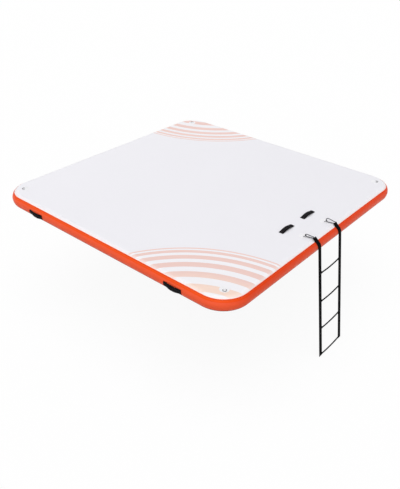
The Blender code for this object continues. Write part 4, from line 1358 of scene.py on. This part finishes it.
def build_valve():
    """Flange and barrel, scalloped cap, the strap that keeps the cap, and the spring."""
    place = Matrix.Translation(joint_place("valve_cap_turn"))
    depth = place.translation.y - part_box("valve_body")[0].y
    outline = [(VALVE_FLANGE * 0.5, -FLANGE_DEPTH), (VALVE_FLANGE, -FLANGE_DEPTH)]
    outline += [(VALVE_FLANGE, VALVE_FACE), (VALVE_BORE + SEAT_DEPTH * 2, VALVE_FACE)]
    outline += [(VALVE_BORE, VALVE_FACE - SEAT_DEPTH)]
    outline += [(VALVE_BORE, -SEAT_DEPTH), (VALVE_BORE * 0.4, -SEAT_DEPTH)]
    bm = turned(rounded_outline(outline, VALVE_ROUND, 4), DISC_SIDES, place)
    body = finish_mesh("valve_flange", bm, PLASTIC)
    boolean(body, wall_block(place), "DIFFERENCE")
    place_piece(body, "dock", "grey_plastic")
    outline = [(VALVE_BARREL, -BARREL_DEPTH), (VALVE_BARREL, -depth)]
    outline += [(VALVE_BORE, -depth), (VALVE_BORE, -BARREL_DEPTH)]
    bm = turned(outline, BARREL_SIDES, place, closed=True)
    place_piece(finish_mesh("valve_barrel", bm, PLASTIC), "dock", "grey_plastic", "valve_body")
    build_cap(place)
    build_tether(place)
    build_spring(place.translation)
    for node in ("valve_nut", "valve_poppet"):
        frame["nodes"][node].data.materials[0] = PLASTIC


def build_spring(middle):
    """Coil between its fixed end and the poppet's button."""
    low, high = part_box("valve_spring")
    radius = (high.x - low.x) / 2 - SPRING_WIRE
    steps = SPRING_TURNS * SPRING_STEPS
    rim = circle(SPRING_WIRE, SPRING_SIDES)
    sections = []
    for i, y in enumerate(spread(low.y + SPRING_WIRE, high.y - SPRING_WIRE, steps + 1)):
        angle = 2 * math.pi * SPRING_TURNS * i / steps
        radial = Vector((math.cos(angle), 0.0, math.sin(angle)))
        centre = Vector((middle.x, y, middle.z)) + radial * radius
        sections.append([centre + radial * px + ALONG * py for px, py in rim])
    coil = finish_mesh("valve_coil", loft(sections), SPRING)
    place_piece(coil, "dock", "steel", "valve_spring")
    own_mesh(coil)


def build_cap(place):
    """Ribbed cap with a sunk face, a stud for its strap, and the plug under it."""
    face = VALVE_FACE + GAP
    top = face + CAP
    neck = top + GAP * 2 + TETHER
    well = top - CAP_WELL
    sides = CAP_RIBS * RIB_SIDES
    ribbed = ((face, 0.0, 1.0), (face + CAP_FOOT, CAP_BEVEL, 1.0))
    ribbed += ((top - CAP_SHOULDER, CAP_BEVEL, 1.0), (top - CAP_BEVEL, -CAP_BEVEL, 0.6))
    sections = []
    for y, swell, depth in ribbed:
        section = []
        for i in range(sides):
            angle = 2 * math.pi * i / sides
            rib = CAP_RIB_DEPTH * depth * (0.5 - 0.5 * math.cos(CAP_RIBS * angle))
            radius = CAP_RADIUS + swell - CAP_BEVEL - rib
            section.append(place @ Vector((radius * math.cos(angle), y, radius * math.sin(angle))))
        sections.append(section)
    outer, inner, sunk = (CAP_RADIUS - inset for inset in CAP_INSETS)
    plain = [(outer, top), (inner, top), (sunk, well), (STUD + STUD_FOOT, well), (STUD, top), (STUD, neck)]
    plain += [(STUD_HEAD, neck), (STUD_HEAD, neck + STUD_HEAD_THICKNESS * 0.6)]
    plain += [(STUD_HEAD * 0.7, neck + STUD_HEAD_THICKNESS)]
    for radius, y in plain:
        sections.append([place @ Vector((px, y, pz)) for px, pz in circle(radius, sides)])
    cap = finish_mesh("valve_lid", loft(sections), PLASTIC)
    plug = cylinder(PLUG_RADIUS, VALVE_FACE - PLUG_DEPTH, face + CAP / 2, PLUG_SIDES, place)
    boolean(cap, plug, "UNION")
    place_piece(cap, "valve_cap", "grey_plastic", "valve_cap")


def build_tether(place):
    """Ring round the flange, and the strip from it to the cap's stud."""
    inner = VALVE_FLANGE + GAP
    outer = inner + TETHER_RING_WALL
    back = GAP * 2
    outline = [(inner, back), (outer - TETHER_BEVEL, back), (outer, back + TETHER_BEVEL)]
    outline += [(outer, VALVE_FACE - TETHER_EDGE), (outer - TETHER_EDGE, VALVE_FACE), (inner, VALVE_FACE)]
    ring = finish_mesh("valve_keeper", turned(outline, DISC_SIDES, place, closed=True), PLASTIC)
    low = VALVE_FACE + GAP + CAP + GAP
    high = low + TETHER
    middle = (VALVE_FACE + back) / 2
    bend = circle(TETHER_BEND, TETHER_BEND_STEPS, 0.0, -math.pi / 2)
    side_view = [(low, 0.0), (high, 0.0)]
    side_view += [(high - TETHER_BEND + px, -outer + TETHER_BEND + pz) for px, pz in bend]
    side_view += [(middle, -outer), (middle, -inner - GAP), (low, -inner - GAP)]
    boolean(ring, extruded(side_view, -TETHER_WIDTH / 2, TETHER_WIDTH / 2, place), "UNION")
    boolean(ring, cylinder(TETHER_WIDTH, low, high, EYE_SIDES, place), "UNION")
    hole = cylinder(STUD + GAP, low - TETHER, high + TETHER, ROUND_SIDES, place)
    boolean(ring, hole, "DIFFERENCE")
    place_piece(ring, "dock", "grey_plastic", "valve_tether")


# Camera, light and floor


def build_camera():
    data = bpy.data.cameras.new("camera")
    data.lens = CAMERA_LENS
    data.sensor_width = CAMERA_SENSOR
    camera = add_object("camera", data)
    turn = Matrix.Rotation(CAMERA_HEADING - math.pi / 2, 4, "Z")
    tilt = Matrix.Rotation(math.pi / 2 - CAMERA_ELEVATION, 4, "X")
    roll = Matrix.Rotation(CAMERA_ROLL, 4, "Z")
    camera.matrix_world = Matrix.Translation(CAMERA_PLACE) @ turn @ tilt @ roll
    bpy.context.scene.camera = camera


def when_seen(tree, otherwise, seen):
    """One value for light that the floor or world throws, and one where it is seen."""
    path = tree.nodes.new("ShaderNodeLightPath").outputs
    rays = {0: path["Is Camera Ray"], 1: path["Is Glossy Ray"]}
    rays = {0: add_node(tree, "Math", rays, operation="MAXIMUM"), 1: path["Is Transmission Ray"]}
    shows = add_node(tree, "Math", rays, operation="MAXIMUM")
    return add_node(tree, "MapRange", {"Value": shows, "To Min": otherwise, "To Max": seen}, "Result")


def build_world():
    world = bpy.data.worlds.new("studio")
    bpy.context.scene.world = world
    world.use_nodes = True
    tree = world.node_tree
    background = tree.nodes["Background"]
    background.inputs["Color"].default_value = (1.0, 1.0, 1.0, 1.0)
    tree.links.new(when_seen(tree, WORLD_LEVEL, 1.0), background.inputs["Strength"])


def build_floor():
    low = cad_bounds[0].z - GAP
    bm = bmesh.new()
    corners = ((-1, -1), (1, -1), (1, 1), (-1, 1))
    bm.faces.new([bm.verts.new((x * FLOOR_REACH, y * FLOOR_REACH, low)) for x, y in corners])
    mesh = bpy.data.meshes.new("floor")
    bm.to_mesh(mesh)
    bm.free()
    floor = add_object("floor", mesh)
    finish = Finish("pale_floor", (1.0, 1.0, 1.0), roughness=0.9, specular=0.0)
    tree = finish.tree
    finish.link(when_seen(tree, FLOOR_BOUNCE, FLOOR_SEEN))
    glow = add_node(tree, "Emission", {"Color": (1.0, 1.0, 1.0, 1.0)})
    mixed = {0: when_seen(tree, 0.0, FLOOR_GLOW), 1: finish.shader.outputs[0], 2: glow}
    surface = tree.nodes["Material Output"].inputs["Surface"]
    tree.links.new(add_node(tree, "MixShader", mixed), surface)
    mesh.materials.append(finish.material)


def build_lights():
    """Broad soft key from above, and a low broad fill from the front left that reaches the walls."""
    for name, (direction, energy) in SUNS.items():
        data = bpy.data.lights.new(name, "SUN")
        data.energy = energy
        data.angle = SOFTNESS
        lamp = add_object(name, data)
        lamp.rotation_euler = Vector(direction).to_track_quat("Z", "Y").to_euler()


build_camera()
build_dock()
build_rings()
build_handles()
build_ladder()
build_valve()
build_world()
build_floor()
build_lights()
bpy.context.scene.view_settings.view_transform = "Standard"
